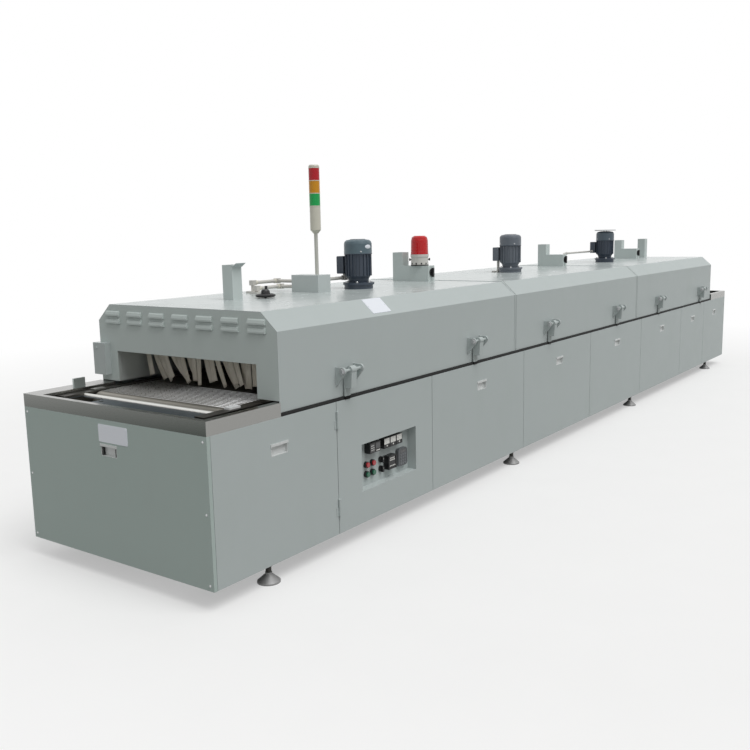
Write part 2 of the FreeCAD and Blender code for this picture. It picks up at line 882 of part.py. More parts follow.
# Belt drive under the outlet table: shelf, gearmotor, sprocket and chain
gear = size("gearbox_side")
gear_w = size("gearbox_width")
drive_r = size("drive_motor_radius")
drive_l = size("drive_motor_length")
shelf_t = size("tube_wall") * 3
gear_y = spr_y - spr_w - gear_w
shelf_z = z_base + tube_side
shelf_w = (rail_near + tube_side) * 2
shelf = block((x_drive - gear, shelf_w / -2, shelf_z), (gear * 2, shelf_w, shelf_t))
riser = block(
    (x_drive - gear / 2, gear_y, shelf_z + shelf_t), (gear, gear_w, z_gear - gear / 2 - shelf_z - shelf_t)
)
gearbox = block((x_drive - gear / 2, gear_y, z_gear - gear / 2), (gear, gear_w, gear))
gearbox = cut(gearbox, rod((x_drive, gear_y + gear_w / 2, z_gear), shaft_r + running, gear_w, "y"))
drive_motor = rod((x_drive, gear_y - drive_l, z_gear), drive_r, drive_l, "y")
keep(group([shelf, riser, gearbox, drive_motor]), "drive_gearmotor")
out_shaft = rod((x_drive, gear_y + gear_w / 2 + loose, z_gear), shaft_r, gear_w / 2 + spr_w * 2, "y")
keep(weld(out_shaft, sprocket(x_drive, z_gear)), "motor_sprocket")
chain_loop = loop((x_drive, z_roller), (x_drive, z_gear), spr_r + loose, chain_t, spr_y, spr_w)
keep(chain_loop, "drive_chain")

# Insulated trays under the belt, hung between the upper rails, with heater tubes above
tray_floor_t = size("tray_insulation")
z_return = z_roller - roller_r - loose - belt_t
tray_low = z_return - size("tray_top_drop") - tray_floor_t
tray_wall_top = z_seam - cross_height
under = []
for start in x_hoods:
    outer = block(
        (start + table_gap, -rail_near, tray_low),
        (section - table_gap * 2, rail_near * 2, tray_wall_top - tray_low),
    )
    hollow = block(
        (start + table_gap, rail_t - rail_near, tray_low + tray_floor_t),
        (section - table_gap * 2, (rail_near - rail_t) * 2, tray_wall_top - tray_low),
    )
    under.append(cut(outer, hollow))
    for k in range(4):
        heater_y = rail_in * (k - 1.5) / 2
        heater_r = size("heater_radius")
        under.append(
            rod(
                (start + section * 0.2, heater_y, z_seam + heater_r), heater_r, section * 0.6, "x"
            )
        )
keep(group(under), "tunnel_trays")

# Hood sections: folded shells with end frames, hung on ears along the control side
skin = size("hood_skin")
seam = size("seam_gap")
half = y_rear - size("hood_inset")
run = size("chamfer_run")
mouth_half = size("mouth_width") / 2
mouth_top = z_seam + size("mouth_top")
ceiling = z_seam + size("tunnel_rise")
plate_foot = z_rim + table_gap
boss_r = size("ear_boss_radius")
ear_t = size("ear_thickness")
pin_r = size("hinge_pin_radius")
pivot_y = (half + size("ear_reach")) * -1
pivot_z = z_hood + size("ear_rise")
lug_w = size("lug_width")
ledge_rise = size("lug_ledge_rise")


def hood_section(inset, foot):
    """The hood's outline across the belt, set in from the outside."""
    side = half - inset
    eave = z_eave - inset * 0.45
    ridge = half - run - inset * 0.38
    top = z_roof - inset
    return [(-side, foot), (-side, eave), (-ridge, top), (ridge, top), (side, eave), (side, foot)]


def end_frame(x):
    """A plate inside the end of a hood, cut out for the tunnel."""
    cut_out = [
        (mouth_half, plate_foot),
        (mouth_half, mouth_top),
        (-mouth_half, mouth_top),
        (-mouth_half, plate_foot),
    ]
    return padded("YZ_Plane", [hood_section(skin, plate_foot) + cut_out], skin, (x, 0, 0), "frame")


def ear(x):
    """A hinge ear on the hood's wall, with a round boss for the pin."""
    top = pivot_z + boss_r
    outline = [
        (-half, z_hood + ledge_rise + boss_r * 0.5),
        (-half, top),
        (pivot_y, top),
        (pivot_y - boss_r * 0.8, pivot_z - boss_r * 0.6),
    ]
    web = padded("YZ_Plane", [outline], ear_t, (x - ear_t / 2, 0, 0), "ear")
    boss = rod((x - ear_t / 2, pivot_y, pivot_z), boss_r, ear_t, "x")
    bore = rod((x - ear_t, pivot_y, pivot_z), pin_r + running, ear_t * 2, "x")
    return cut(weld(web, boss), bore)


def lug(x):
    """The fixed half of a hinge: a foot in the seam, a leaf up the wall and a block between the ears."""
    foot_t = seam - sheet_t / 2
    near = (half + size("lug_gap")) * -1
    far = near - size("lug_thickness")
    ledge = z_hood + ledge_rise
    outline = [
        (far, z_seam),
        (near, z_seam),
        (near, pivot_z - boss_r * 2),
        (pivot_y + boss_r * 0.8, pivot_z - boss_r * 0.6),
        (pivot_y, pivot_z),
        (pivot_y - boss_r * 0.8, pivot_z - boss_r * 0.6),
        (pivot_y - boss_r * 0.6, ledge),
        (far, ledge),
    ]
    upright = padded("YZ_Plane", [outline], lug_w, (x - lug_w / 2, 0, 0), "lug")
    eye = rod((x - lug_w / 2, pivot_y, pivot_z), boss_r, lug_w, "x")
    foot = block((x - lug_w / 2, far, z_seam), (lug_w, far * -1 - rail_near, foot_t))
    bore = rod((x - lug_w, pivot_y, pivot_z), pin_r + running, lug_w * 2, "x")
    return cut(weld(upright, eye, foot), bore)


def lift_handle(x):
    """A round bar handle on the rear wall."""
    reach = size("handle_reach")
    handle_l = size("handle_length")
    bar = size("handle_radius")
    z = z_hood + size("handle_rise")
    grip = rod((x - handle_l / 2, half + reach - bar, z), bar, handle_l, "x")
    post_r = bar * 0.8
    posts = [
        rod((x + handle_l * share, half, z), post_r, reach - bar, "y") for share in (-0.42, 0.42)
    ]
    return weld(grip, *posts)


motor_x = [x_in + size("motor_first") + size("motor_pitch") * index for index in range(SECTIONS)]
fan_shaft_r = size("fan_shaft_radius")
shaft_hole_r = fan_shaft_r * 2
hinge_first = [
    size("hinge_first_inlet"),
    size("hinge_first"),
    size("hinge_first_outlet"),
]
hinge_second = [
    size("hinge_second_inlet"),
    size("hinge_second_middle"),
    size("hinge_second_outlet"),
]
duct = size("duct_side")
duct_wall = size("duct_wall")
duct_x = [start + section - size("duct_centre") for start in x_hoods]
duct_x[-1] = x_hoods[-1] + section - size("duct_centre_outlet")
duct_y = -size("duct_front")
vent_y = duct_y + size("duct_length") - duct
wheel_x = x_hoods[0] + size("handwheel_offset")
wheel_y = size("handwheel_side")
spindle_r = size("spindle_radius")
lugs = []
spacing = size("ear_spacing")
for index, start in enumerate(x_hoods):
    first = start + seam / 2
    reach = section - seam
    wall = hood_section(size(0), z_hood) + hood_section(skin, z_hood)[::-1]
    pieces = [padded("YZ_Plane", [wall], reach, (first, 0, 0), "hood")]
    if index > 0:
        pieces.append(end_frame(first))
    if index < SECTIONS - 1:
        pieces.append(end_frame(first + reach - skin))
    for offset in (hinge_first[index], hinge_second[index]):
        x = start + offset
        pieces += [ear(x - spacing / 2), ear(x + spacing / 2)]
        pieces.append(lift_handle(x))
        pin_l = spacing + ear_t * 2
        lugs.append(lug(x))
        lugs.append(rod((x - pin_l / 2, pivot_y, pivot_z), pin_r, pin_l, "x"))
    holes = [
        rod((motor_x[index], 0, z_roof - skin - 1), shaft_hole_r, skin + 2),
        block(
            (duct_x[index] - duct / 2 + duct_wall, vent_y + duct_wall, z_roof - skin - 1),
            (duct - duct_wall * 2, duct - duct_wall * 2, skin + 2),
        ),
    ]
    if index == 0:
        holes.append(rod((wheel_x, wheel_y, z_roof - skin - 1), spindle_r + running, skin + 2))
    keep(cut(weld(*pieces), *holes), f"hood_shell_{index + 1}")

    # Lining, insulation and heater tubes of this section
    lining_x = first + skin
    lining_l = reach - skin * 2
    inner = mouth_half
    jacket = half - skin
    crown = ceiling + size("lining_height")
    liner = [
        (-inner - sheet_t, plate_foot),
        (-inner - sheet_t, ceiling + sheet_t),
        (inner + sheet_t, ceiling + sheet_t),
        (inner + sheet_t, plate_foot),
        (inner, plate_foot),
        (inner, ceiling),
        (-inner, ceiling),
        (-inner, plate_foot),
    ]
    padding = [
        (-jacket, plate_foot),
        (-jacket, crown),
        (jacket, crown),
        (jacket, plate_foot),
        (inner + sheet_t, plate_foot),
        (inner + sheet_t, ceiling + sheet_t),
        (-inner - sheet_t, ceiling + sheet_t),
        (-inner - sheet_t, plate_foot),
    ]
    layers = []
    for outline in (liner, padding):
        layer = padded("YZ_Plane", [outline], lining_l, (lining_x, 0, 0), "lining")
        hole = rod((motor_x[index], 0, ceiling - 1), shaft_hole_r, crown - ceiling + 2)
        layers.append(cut(layer, hole))
    heater_r = size("heater_radius")
    for side in SIDES:
        heater_at = (start + section * 0.15, inner * 0.6 * side, ceiling - heater_r)
        layers.append(rod(heater_at, heater_r, section * 0.7, "x"))
    rail_side = size("curtain_rail_side")
    if index != 1:
        at_inlet = index == 0
        curtain_x = start + size("curtain_setback") if at_inlet else start + section - size("curtain_setback")
        rail_at = (curtain_x - rail_side / 2, -inner, ceiling - rail_side)
        layers.append(block(rail_at, (rail_side, inner * 2, rail_side)))
    keep(group(layers), f"hood_lining_{index + 1}")
keep(group(lugs), "hinge_lugs")

# End plates of the tunnel with their louvres
LOUVRE_COLUMNS = 7
louvre_w = size("louvre_width")
louvre_h = size("louvre_height")
louvre_d = size("louvre_depth")
louvre_pitch = (size("louvre_spread") - louvre_w) / (LOUVRE_COLUMNS - 1)
louvre_low = z_eave - size("louvre_drop")
louvre_rows = (louvre_low, louvre_low + size("louvre_row_pitch"))


def louvred_plate(x_face, outward):
    """A hood end plate with two rows of pressed louvres that open downwards."""
    plate = end_frame(x_face if outward < 0 else x_face - skin)
    bumps = []
    hollows = []
    wall = sheet_t
    for z in louvre_rows:
        for column in range(LOUVRE_COLUMNS):
            y = size("louvre_spread") / -2 + louvre_pitch * column
            bump = [
                (0, 0),
                (louvre_d * outward, 0),
                (louvre_d * outward, louvre_h * 0.3),
                (louvre_d * outward * 0.6, louvre_h * 0.8),
                (0, louvre_h),
            ]
            hollow = [
                (skin * -outward * 1.5, -1),
                ((louvre_d - wall) * outward, -1),
                ((louvre_d - wall) * outward, louvre_h * 0.25),
                ((louvre_d * 0.6 - wall) * outward, louvre_h * 0.7),
                (skin * -outward * 1.5, louvre_h * 0.7),
            ]
            bumps.append(padded("XZ_Plane", [bump], louvre_w, (x_face, y, z), "louvre"))
            hollow_at = (x_face, y + wall, z)
            hollows.append(padded("XZ_Plane", [hollow], louvre_w - wall * 2, hollow_at, "louvre_hollow"))
    return cut(weld(plate, *bumps), *hollows)


keep(louvred_plate(x_hoods[0] + seam / 2, -1), "inlet_hood_plate")
keep(louvred_plate(x_hoods[-1] + section - seam / 2, 1), "outlet_hood_plate")

# Cloth strip curtains inside the mouths: each strip bows, twists and leans to the control side
STRIPS = 22
MOST_LEAN = 26.0
MOST_TWIST = 12.0
FOLD_SHARES = (0.0, 0.55, 1.0)
strip_w = size("strip_width")
strip_t = size("strip_thickness")
strip_layer = size("strip_layer_pitch")
strip_top = ceiling - size("curtain_rail_side")
strip_l = (strip_top - z_belt - size("strip_clearance")) * 0.97
strip_spread = size("mouth_width") - strip_w * 2.2


def strip_section(centre, twist):
    """The flat section of a strip round a point, turned about the vertical."""
    thing = doc.addObject("Part::Plane", "strip_section")
    measure(thing, "Length", strip_t)
    measure(thing, "Width", strip_w)
    along = math.cos(math.radians(twist))
    aside = math.sin(math.radians(twist))
    corner_x = centre[0] - strip_t / 2 * along + strip_w / 2 * aside
    corner_y = centre[1] - strip_t / 2 * aside - strip_w / 2 * along
    return place(thing, (corner_x, corner_y, centre[2]), FreeCAD.Rotation(V(0, 0, 1), twist))


def hanging_strip(x, number):
    """One strip, from its flat top under the rail down to its free end."""
    layer = number % 3 - 1
    across = number / (STRIPS - 1)
    lean = math.radians(MOST_LEAN * math.sqrt(across) * (0.55 + 0.45 * math.sin(2.3 * number + 0.7)))
    twist = MOST_TWIST * math.sin(1.9 * number + 0.4)
    reach = strip_l * (0.94 + 0.06 * math.sin(1.7 * number))
    y_top = strip_spread * (across - 0.5)
    sections = []
    for share in FOLD_SHARES:
        bow_x = x + strip_layer * layer * (1 + 2.2 * share * share)
        lean_y = y_top - reach * math.tan(lean) * share**1.4
        sections.append(strip_section((bow_x, lean_y, strip_top - reach * share), twist * share**1.5))
    strip = doc.addObject("Part::Loft", "strip")
    strip.Sections = sections
    strip.Solid = True
    return strip


def curtain(x):
    """A row of strips in three layers under one rail."""
    return group([hanging_strip(x, number) for number in range(STRIPS)])


keep(curtain(x_hoods[0] + size("curtain_setback")), "inlet_curtain")
keep(curtain(x_hoods[-1] + section - size("curtain_setback")), "outlet_curtain")

# Fan motors on the roof, with their fan shafts and impellers in the tunnel
motor_r = size("motor_radius")
fin_d = size("motor_fin_depth")
flange_r = size("motor_flange_radius")
flange_h = size("motor_flange_height")
ring_h = size("motor_ring_height")
bell_h = size("motor_bell_height")
body_h = size("motor_body_height")
cowl_h = size("motor_cowl_height")
box_side = size("terminal_box_side")
box_depth = size("terminal_box_depth")
box_h = size("terminal_box_height")
z_flange = z_roof + ring_h
z_body = z_flange + flange_h + bell_h
z_cowl = z_body + body_h
bore_depth = flange_h + bell_h
FINS = 20


def spoke(centre, angle, start, span):
    """A flat bar that points away from an upright axis at an angle."""
    reach, thick, tall = span
    turn = FreeCAD.Rotation(V(0, 0, 1), math.degrees(angle))
    x = centre[0] + start * math.cos(angle) + thick / 2 * math.sin(angle)
    y = centre[1] + start * math.sin(angle) - thick / 2 * math.cos(angle)
    bar = block((x, y, centre[2]), span)
    return place(bar, (x, y, centre[2]), turn)


def fan_motor(x):
    """A flange motor: mounting ring, finned casting, fan cowl and terminal box."""
    ring = cut(
        rod((x, 0, z_roof), flange_r * 0.92, ring_h), rod((x, 0, z_roof - 1), flange_r * 0.6, ring_h + 2)
    )
    core = motor_r - fin_d
    casting = turned(
        [
            (0, 0),
            (flange_r, 0),
            (flange_r, flange_h),
            (motor_r * 0.72, flange_h),
            (motor_r * 0.78, flange_h + bell_h * 0.6),
            (core, flange_h + bell_h),
            (core, flange_h + bell_h + body_h),
            (0, flange_h + bell_h + body_h),
        ],
        (x, 0, z_flange),
        label="casting",
    )
    fins = []
    for k in range(FINS):
        angle = 2 * math.pi * (k + 0.5) / FINS
        fins.append(spoke((x, 0, z_body), angle, core * 0.9, (core * 0.1 + fin_d, fin_d * 0.5, body_h)))
    bore = rod((x, 0, z_flange - 1), fan_shaft_r + running, bore_depth + 1)
    casting = cut(weld(casting, *fins), bore)
    cowl = turned(
        [
            (0, 0),
            (motor_r * 1.02, 0),
            (motor_r * 1.02, cowl_h * 0.72),
            (motor_r * 0.97, cowl_h * 0.86),
            (motor_r * 0.84, cowl_h * 0.96),
            (motor_r * 0.6, cowl_h),
            (0, cowl_h),
        ],
        (x, 0, z_cowl),
        label="cowl",
    )
    terminal_at = (x - box_side / 2, motor_r, z_body + (body_h - box_h) / 2)
    terminal = block(terminal_at, (box_side, box_depth, box_h))
    return [ring, casting, cowl, terminal]


fan_r = size("fan_radius")
fan_h = size("fan_height")
fan_top = ceiling - size("fan_drop")
disc_t = size("tube_wall")
BLADES = 8
for index, x in enumerate(motor_x):
    pieces = fan_motor(x)
    if index == SECTIONS - 1:
        cap_r = size("rain_cap_radius")
        cap_lift = cowl_h * 0.08
        z_top = z_cowl + cowl_h
        posts = [
            rod((x + motor_r * 0.4 * side, 0, z_top), spindle_r / 2, cap_lift) for side in SIDES
        ]
        pieces.append(weld(rod((x, 0, z_top + cap_lift), cap_r, sheet_t * 5), *posts))
    keep(group(pieces), f"fan_motor_{index + 1}")
    low = fan_top - fan_h
    shaft = rod((x, 0, low), fan_shaft_r, z_flange + bore_depth - loose - low)
    hub = rod((x, 0, low), fan_shaft_r * 2, fan_h)
    disc = rod((x, 0, fan_top - disc_t), fan_r, disc_t)
    blades = []
    for k in range(BLADES):
        angle = 2 * math.pi * k / BLADES
        blades.append(
            spoke((x, 0, low), angle, fan_shaft_r * 1.6, (fan_r * 0.97 - fan_shaft_r * 1.6, disc_t, fan_h))
        )
    keep(weld(shaft, hub, disc, *blades), f"fan_rotor_{index + 1}")

# Exhaust ducts: a low box along the roof that turns up into a stack, with a damper knob
duct_l = [size("duct_length"), size("duct_length_later"), size("duct_length_later")]
low_h = size("duct_low_height")
stack_h = size("duct_stack_height")
damper_r = size("knob_radius")
damper_l = size("knob_length")
damper_z = z_roof + low_h * 0.57


def square_stack(x, y, side, height):
    """An upright square duct, open at the top and bottom."""
    outer = block((x - side / 2, y, z_roof), (side, side, height))
    hole_at = (x - side / 2 + duct_wall, y + duct_wall, z_roof - 1)
    return cut(outer, block(hole_at, (side - duct_wall * 2, side - duct_wall * 2, height + 2)))


def elbow_duct(x, reach):
    """The low box and the stack at its rear end as one folded duct."""
    front = vent_y + duct - reach
    inner = duct - duct_wall * 2
    outer = weld(
        block((x - duct / 2, front, z_roof), (duct, reach, low_h)),
        block((x - duct / 2, vent_y, z_roof), (duct, duct, stack_h)),
    )
    hollow = weld(
        block(
            (x - duct / 2 + duct_wall, front + duct_wall, z_roof + duct_wall),
            (inner, reach - duct_wall * 2, low_h - duct_wall * 2),
        ),
        block((x - duct / 2 + duct_wall, vent_y + duct_wall, z_roof - 1), (inner, inner, stack_h + 2)),
    )
    hole = rod((x, front - 1, damper_z), spindle_r + running, duct_wall + 2, "y")
    return cut(outer, weld(hollow, hole))


def damper_knob(x, reach):
    """A black knob on a spindle through the duct's end."""
    face = vent_y + duct - reach - loose
    skirt = rod((x, face - damper_l * 0.4, damper_z), damper_r, damper_l * 0.4, "y")
    grip_at = (x - damper_r * 0.28, face - damper_l, damper_z - damper_r * 1.25)
    grip = block(grip_at, (damper_r * 0.56, damper_l * 0.7, damper_r * 2.5))
    spindle = rod((x, face - damper_l * 0.2, damper_z), spindle_r, duct_wall * 5 + damper_l * 0.2, "y")
    return weld(skirt, grip, spindle)


stack_side = size("inlet_stack_side")
stack_x = x_hoods[0] + size("inlet_stack_offset") + stack_side / 2
stack_y = size("inlet_stack_front")
inlet_stack_h = size("inlet_stack_height")
z_stack = z_roof + inlet_stack_h
barrel = size("flap_barrel_radius")
flap_t = size("flap_thickness")
flap_y = stack_y - barrel - loose * 3
flap_z = z_stack - barrel
flap_pin_r = barrel / 2
knuckle_l = stack_side * 0.2
knuckles = []
for offset in (stack_side / -2, stack_side / 2 - knuckle_l):
    knuckle_x = stack_x + offset
    tube = rod((knuckle_x, flap_y, flap_z), barrel, knuckle_l, "x")
    tab = block((knuckle_x, flap_y, flap_z - barrel), (knuckle_l, stack_y - flap_y, barrel))
    bore = rod((knuckle_x - 1, flap_y, flap_z), flap_pin_r + running, knuckle_l + 2, "x")
    knuckles.append(cut(weld(tube, tab), bore))
knuckles.append(rod((stack_x - stack_side / 2, flap_y, flap_z), flap_pin_r, stack_side, "x"))
for index, x in enumerate(duct_x):
    pieces = [elbow_duct(x, duct_l[index])]
    if index == 0:
        pieces.append(square_stack(stack_x, stack_y, stack_side, inlet_stack_h))
        pieces += knuckles
    if index == SECTIONS - 1:
        outlet_stack_x = x_hoods[-1] + section - size("outlet_stack_centre")
        outlet_stack_y = size("outlet_stack_front")
        pieces.append(square_stack(outlet_stack_x, outlet_stack_y, duct, size("outlet_stack_height")))
    keep(group(pieces), f"exhaust_duct_{index + 1}")
    keep(damper_knob(x, duct_l[index]), f"damper_knob_{index + 1}")

# Flap of the inlet stack, thrown open
middle_l = stack_side - knuckle_l * 2 - loose * 2
flap_barrel = rod((middle_l / -2, 0, 0), barrel, middle_l, "x")
flap_lift = barrel + loose * 2
flap_leaf = block((stack_side / -2, -barrel, flap_lift), (stack_side, size("flap_length") + barrel, flap_t))
flap_web = block((middle_l / -2, barrel / -2, 0), (middle_l, barrel, flap_lift + flap_t / 2))
flap_bore = rod((stack_side / -2, 0, 0), flap_pin_r + running, stack_side, "x")
flap = cut(weld(flap_barrel, flap_leaf, flap_web), flap_bore)
flap_turn = FreeCAD.Rotation(V(1, 0, 0), size("flap_open_angle").number)
place(flap, (stack_x, flap_y, flap_z), flap_turn)
flap.setExpression("Placement.Rotation.Angle", "Sizes.flap_open_angle")
keep(flap, "stack_flap")

# Handwheel beside the inlet stack
wheel_r = size("handwheel_radius")
wheel_z = z_roof + size("handwheel_rise")
wheel = turned(
    [
        (0, 0),
        (wheel_r * 0.9, 0),
        (wheel_r, wheel_r * 0.1),
        (wheel_r, wheel_r * 0.22),
        (wheel_r * 0.82, wheel_r * 0.3),
        (wheel_r * 0.5, wheel_r * 0.2),
        (wheel_r * 0.42, wheel_r * 0.6),
        (wheel_r * 0.3, wheel_r * 0.75),
        (0, wheel_r * 0.75),
    ],
    (wheel_x, wheel_y, wheel_z),
    label="wheel",
)
spindle_low = z_roof - skin * 6
spindle = rod((wheel_x, wheel_y, spindle_low), spindle_r, wheel_z - spindle_low + 2)
crank_at = (wheel_x + wheel_r * 0.58, wheel_y + wheel_r * 0.42, wheel_z + wheel_r * 0.15)
crank = rod(crank_at, wheel_r * 0.14, wheel_r * 0.9)
keep(weld(wheel, spindle, crank), "handwheel")

# Junction box with the signal tower
junction_l = size("junction_length")
junction_w = size("junction_width")
junction_h = size("junction_height")
junction_x = x_hoods[0] + size("junction_offset")
z_pole = z_roof + junction_h
pole_l = size("pole_length")
pole_r = size("pole_radius")
tower_r = size("tower_radius")
tower_h = size("tower_body_height")
lens_h = size("lens_height")
pole_x = junction_x + junction_w - size("pole_inset")
pole_y = size("pole_side")
z_tower = z_pole + pole_l
z_lens = z_tower + tower_h
LENSES = 3
junction = block((junction_x, 0, z_roof), (junction_w, junction_l, junction_h))
pole = rod((pole_x, pole_y, z_pole), pole_r, pole_l)
tower = turned(
    [
        (0, 0),
        (pole_r * 1.3, 0),
        (tower_r, tower_h * 0.13),
        (tower_r, tower_h),
        (0, tower_h),
    ],
    (pole_x, pole_y, z_tower),
    label="tower",
)
cap_h = size("tower_cap_height")
cap = turned(
    [(0, 0), (tower_r, 0), (tower_r, cap_h * 0.6), (tower_r * 0.85, cap_h), (0, cap_h)],
    (pole_x, pole_y, z_lens + lens_h * LENSES),
    label="cap",
)
keep(group([junction, pole, tower, cap]), "signal_tower")
lenses = [rod((pole_x, pole_y, z_lens + lens_h * k), tower_r, lens_h) for k in range(LENSES)]
keep(group(lenses), "tower_lenses")

# Beacon on the first duct's low box
beacon_r = size("beacon_radius")
beacon_h = size("beacon_base_height")
dome_h = size("beacon_dome_height")
beacon_y = size("beacon_side")
z_beacon = z_roof + low_h
beacon_base = turned(
    [
        (0, 0),
        (beacon_r * 0.94, 0),
        (beacon_r * 0.94, beacon_h * 0.7),
        (beacon_r, beacon_h * 0.8),
        (beacon_r, beacon_h),
        (0, beacon_h),
    ],
    (duct_x[0], beacon_y, z_beacon),
    label="beacon",
)
keep(beacon_base, "beacon_base")
shell_t = sheet_t * 1.5
dome = turned(
    [
        (beacon_r * 0.96, 0),
        (beacon_r * 0.93, dome_h * 0.75),
        (beacon_r * 0.84, dome_h * 0.92),
        (beacon_r * 0.6, dome_h),
        (0, dome_h),
        (0, dome_h - shell_t),
        (beacon_r * 0.6 - shell_t, dome_h - shell_t),
        (beacon_r * 0.84 - shell_t, dome_h * 0.92 - shell_t),
        (beacon_r * 0.93 - shell_t, dome_h * 0.75),
        (beacon_r * 0.96 - shell_t, 0),
    ],
    (duct_x[0], beacon_y, z_beacon + beacon_h),
    label="dome",
)
keep(dome, "beacon_dome")

# Conduits: two from roof glands to the junction box, and one riser to each of two terminal boxes
tube_r = size("conduit_radius")
elbow = tube_r * 2.8
riser_y = motor_r + box_depth / 2
riser_top = z_body + (body_h - box_h) / 2


def joint_box(x, y, z):
    """A square elbow box about a point of a conduit."""
    return block((x - elbow / 2, y - elbow / 2, z - elbow / 2), (elbow, elbow, elbow))


def gland_conduit(start_x, end_x, y, rise):
    """A conduit that stands on the roof, runs along it and turns into the rear of the junction box."""
    z = z_roof + rise
    gland = block((start_x - elbow, y - elbow, z_roof), (elbow * 2, elbow * 2, tube_r))
    foot = rod((start_x, y, z_roof), tube_r, rise)
    run = rod((start_x, y, z), tube_r, end_x - start_x, "x")
    back = rod((end_x, junction_l, z), tube_r, y - junction_l, "y")
    return weld(gland, foot, run, back, joint_box(start_x, y, z), joint_box(end_x, y, z))


first_lines = []
for name, share in (("high", 0.65), ("low", 0.25)):
    end_x = junction_x + junction_w * share
    start_x = end_x - size(f"conduit_{name}_run")
    side_y = size(f"conduit_{name}_side")
    first_lines.append(gland_conduit(start_x, end_x, side_y, size(f"conduit_{name}_rise")))
z_link = riser_top - tube_r * 2.5
link_x = junction_x + junction_w
link = rod((link_x, riser_y, z_link), tube_r, motor_x[0] - link_x, "x")
link_riser = rod((motor_x[0], riser_y, z_link), tube_r, riser_top - z_link)
first_lines.append(weld(link, link_riser, joint_box(motor_x[0], riser_y, z_link)))
keep(group(first_lines), "roof_conduits_1")
gland = block((motor_x[1] - elbow, riser_y - elbow / 2, z_roof), (elbow * 2, elbow * 2, tube_r))
riser = rod((motor_x[1], riser_y, z_roof), tube_r, riser_top - z_roof)
keep(weld(gland, riser), "roof_conduits_2")

# Switch box on the inlet plate at the rear corner
switch_w = size("switch_box_width")
switch_h = size("switch_box_height")
switch_d = size("switch_box_depth")
switch_x = x_hoods[0] + seam / 2 - switch_d
switch_y = half + size("switch_box_overhang") - switch_w
switch_z = plate_foot + size("switch_box_rise")
switch_case = block((switch_x, switch_y, switch_z), (switch_d, switch_w, switch_h))
stud_at = (switch_x - sheet_t * 2, switch_y + switch_w * 0.7, switch_z + switch_h * 0.84)
switch_stud = rod(stud_at, button_r / 2, sheet_t * 3, "x")
keep(weld(switch_case, switch_stud), "switch_box")

# Every sub-part is checked before any is written
doc.recompute()
failed = [thing.Label for thing in doc.Objects if {"Invalid", "Error"} & set(thing.State)]
for thing in NODES:
    if thing.Shape.isNull() or not thing.Shape.isValid() or not thing.Shape.Solids:
        failed.append(thing.Label)
if failed:
    raise RuntimeError("not built: " + ", ".join(failed))
os.makedirs("parts", exist_ok=True)
for thing in NODES:
    thing.Shape.exportStep(f"parts/{thing.Label}.step")
print(len(NODES), "sub-parts written")
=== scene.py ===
import math

import bmesh
import bpy
from mathutils import Matrix, Vector


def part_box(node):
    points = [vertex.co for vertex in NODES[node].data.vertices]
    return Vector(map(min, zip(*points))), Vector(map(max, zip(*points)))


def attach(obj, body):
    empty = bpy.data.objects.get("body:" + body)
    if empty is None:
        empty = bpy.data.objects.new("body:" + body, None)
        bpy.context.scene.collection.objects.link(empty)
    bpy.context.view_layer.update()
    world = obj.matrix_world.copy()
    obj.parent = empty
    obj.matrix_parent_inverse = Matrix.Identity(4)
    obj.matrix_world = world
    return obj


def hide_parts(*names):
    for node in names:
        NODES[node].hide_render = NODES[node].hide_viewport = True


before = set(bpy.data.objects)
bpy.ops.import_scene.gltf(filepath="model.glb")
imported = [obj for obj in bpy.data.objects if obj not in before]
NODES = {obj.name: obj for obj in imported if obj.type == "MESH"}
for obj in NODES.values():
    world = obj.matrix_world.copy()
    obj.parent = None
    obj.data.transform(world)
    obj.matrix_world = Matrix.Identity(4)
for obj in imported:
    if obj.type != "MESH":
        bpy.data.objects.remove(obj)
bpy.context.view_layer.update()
SCENE = bpy.context.scene

# Places used more than once, in metres
END_X = 4.2
SEAL_TOP_Z = 0.8172
HOOD_TOP_Z = 1.29
HINGES_X = {"hood_1": (-3.212, -1.872), "hood_2": (-0.745, 0.64), "hood_3": (1.76, 3.175)}
MOTOR_X = (-2.201, -0.077, 2.047)
LENS_JOINTS_Z = (1.81, 1.886, 1.962, 2.038)
LENS_HEIGHT = 0.076
ROD_PITCH = 0.025


# Colours and shader nodes
def srgb(red, green, blue):
    """A colour as it looks on screen, 0 to 255, as the linear colour that shaders use."""
    linear = []
    for value in (red, green, blue):
        share = value / 255
        linear.append(share / 12.92 if share <= 0.04045 else ((share + 0.055) / 1.055) ** 2.4)
    return (*linear, 1.0)


def scaled(colour, factor):
    """A linear colour made darker or lighter, no brighter than white."""
    return (*(min(1.0, channel * factor) for channel in colour[:3]), 1.0)


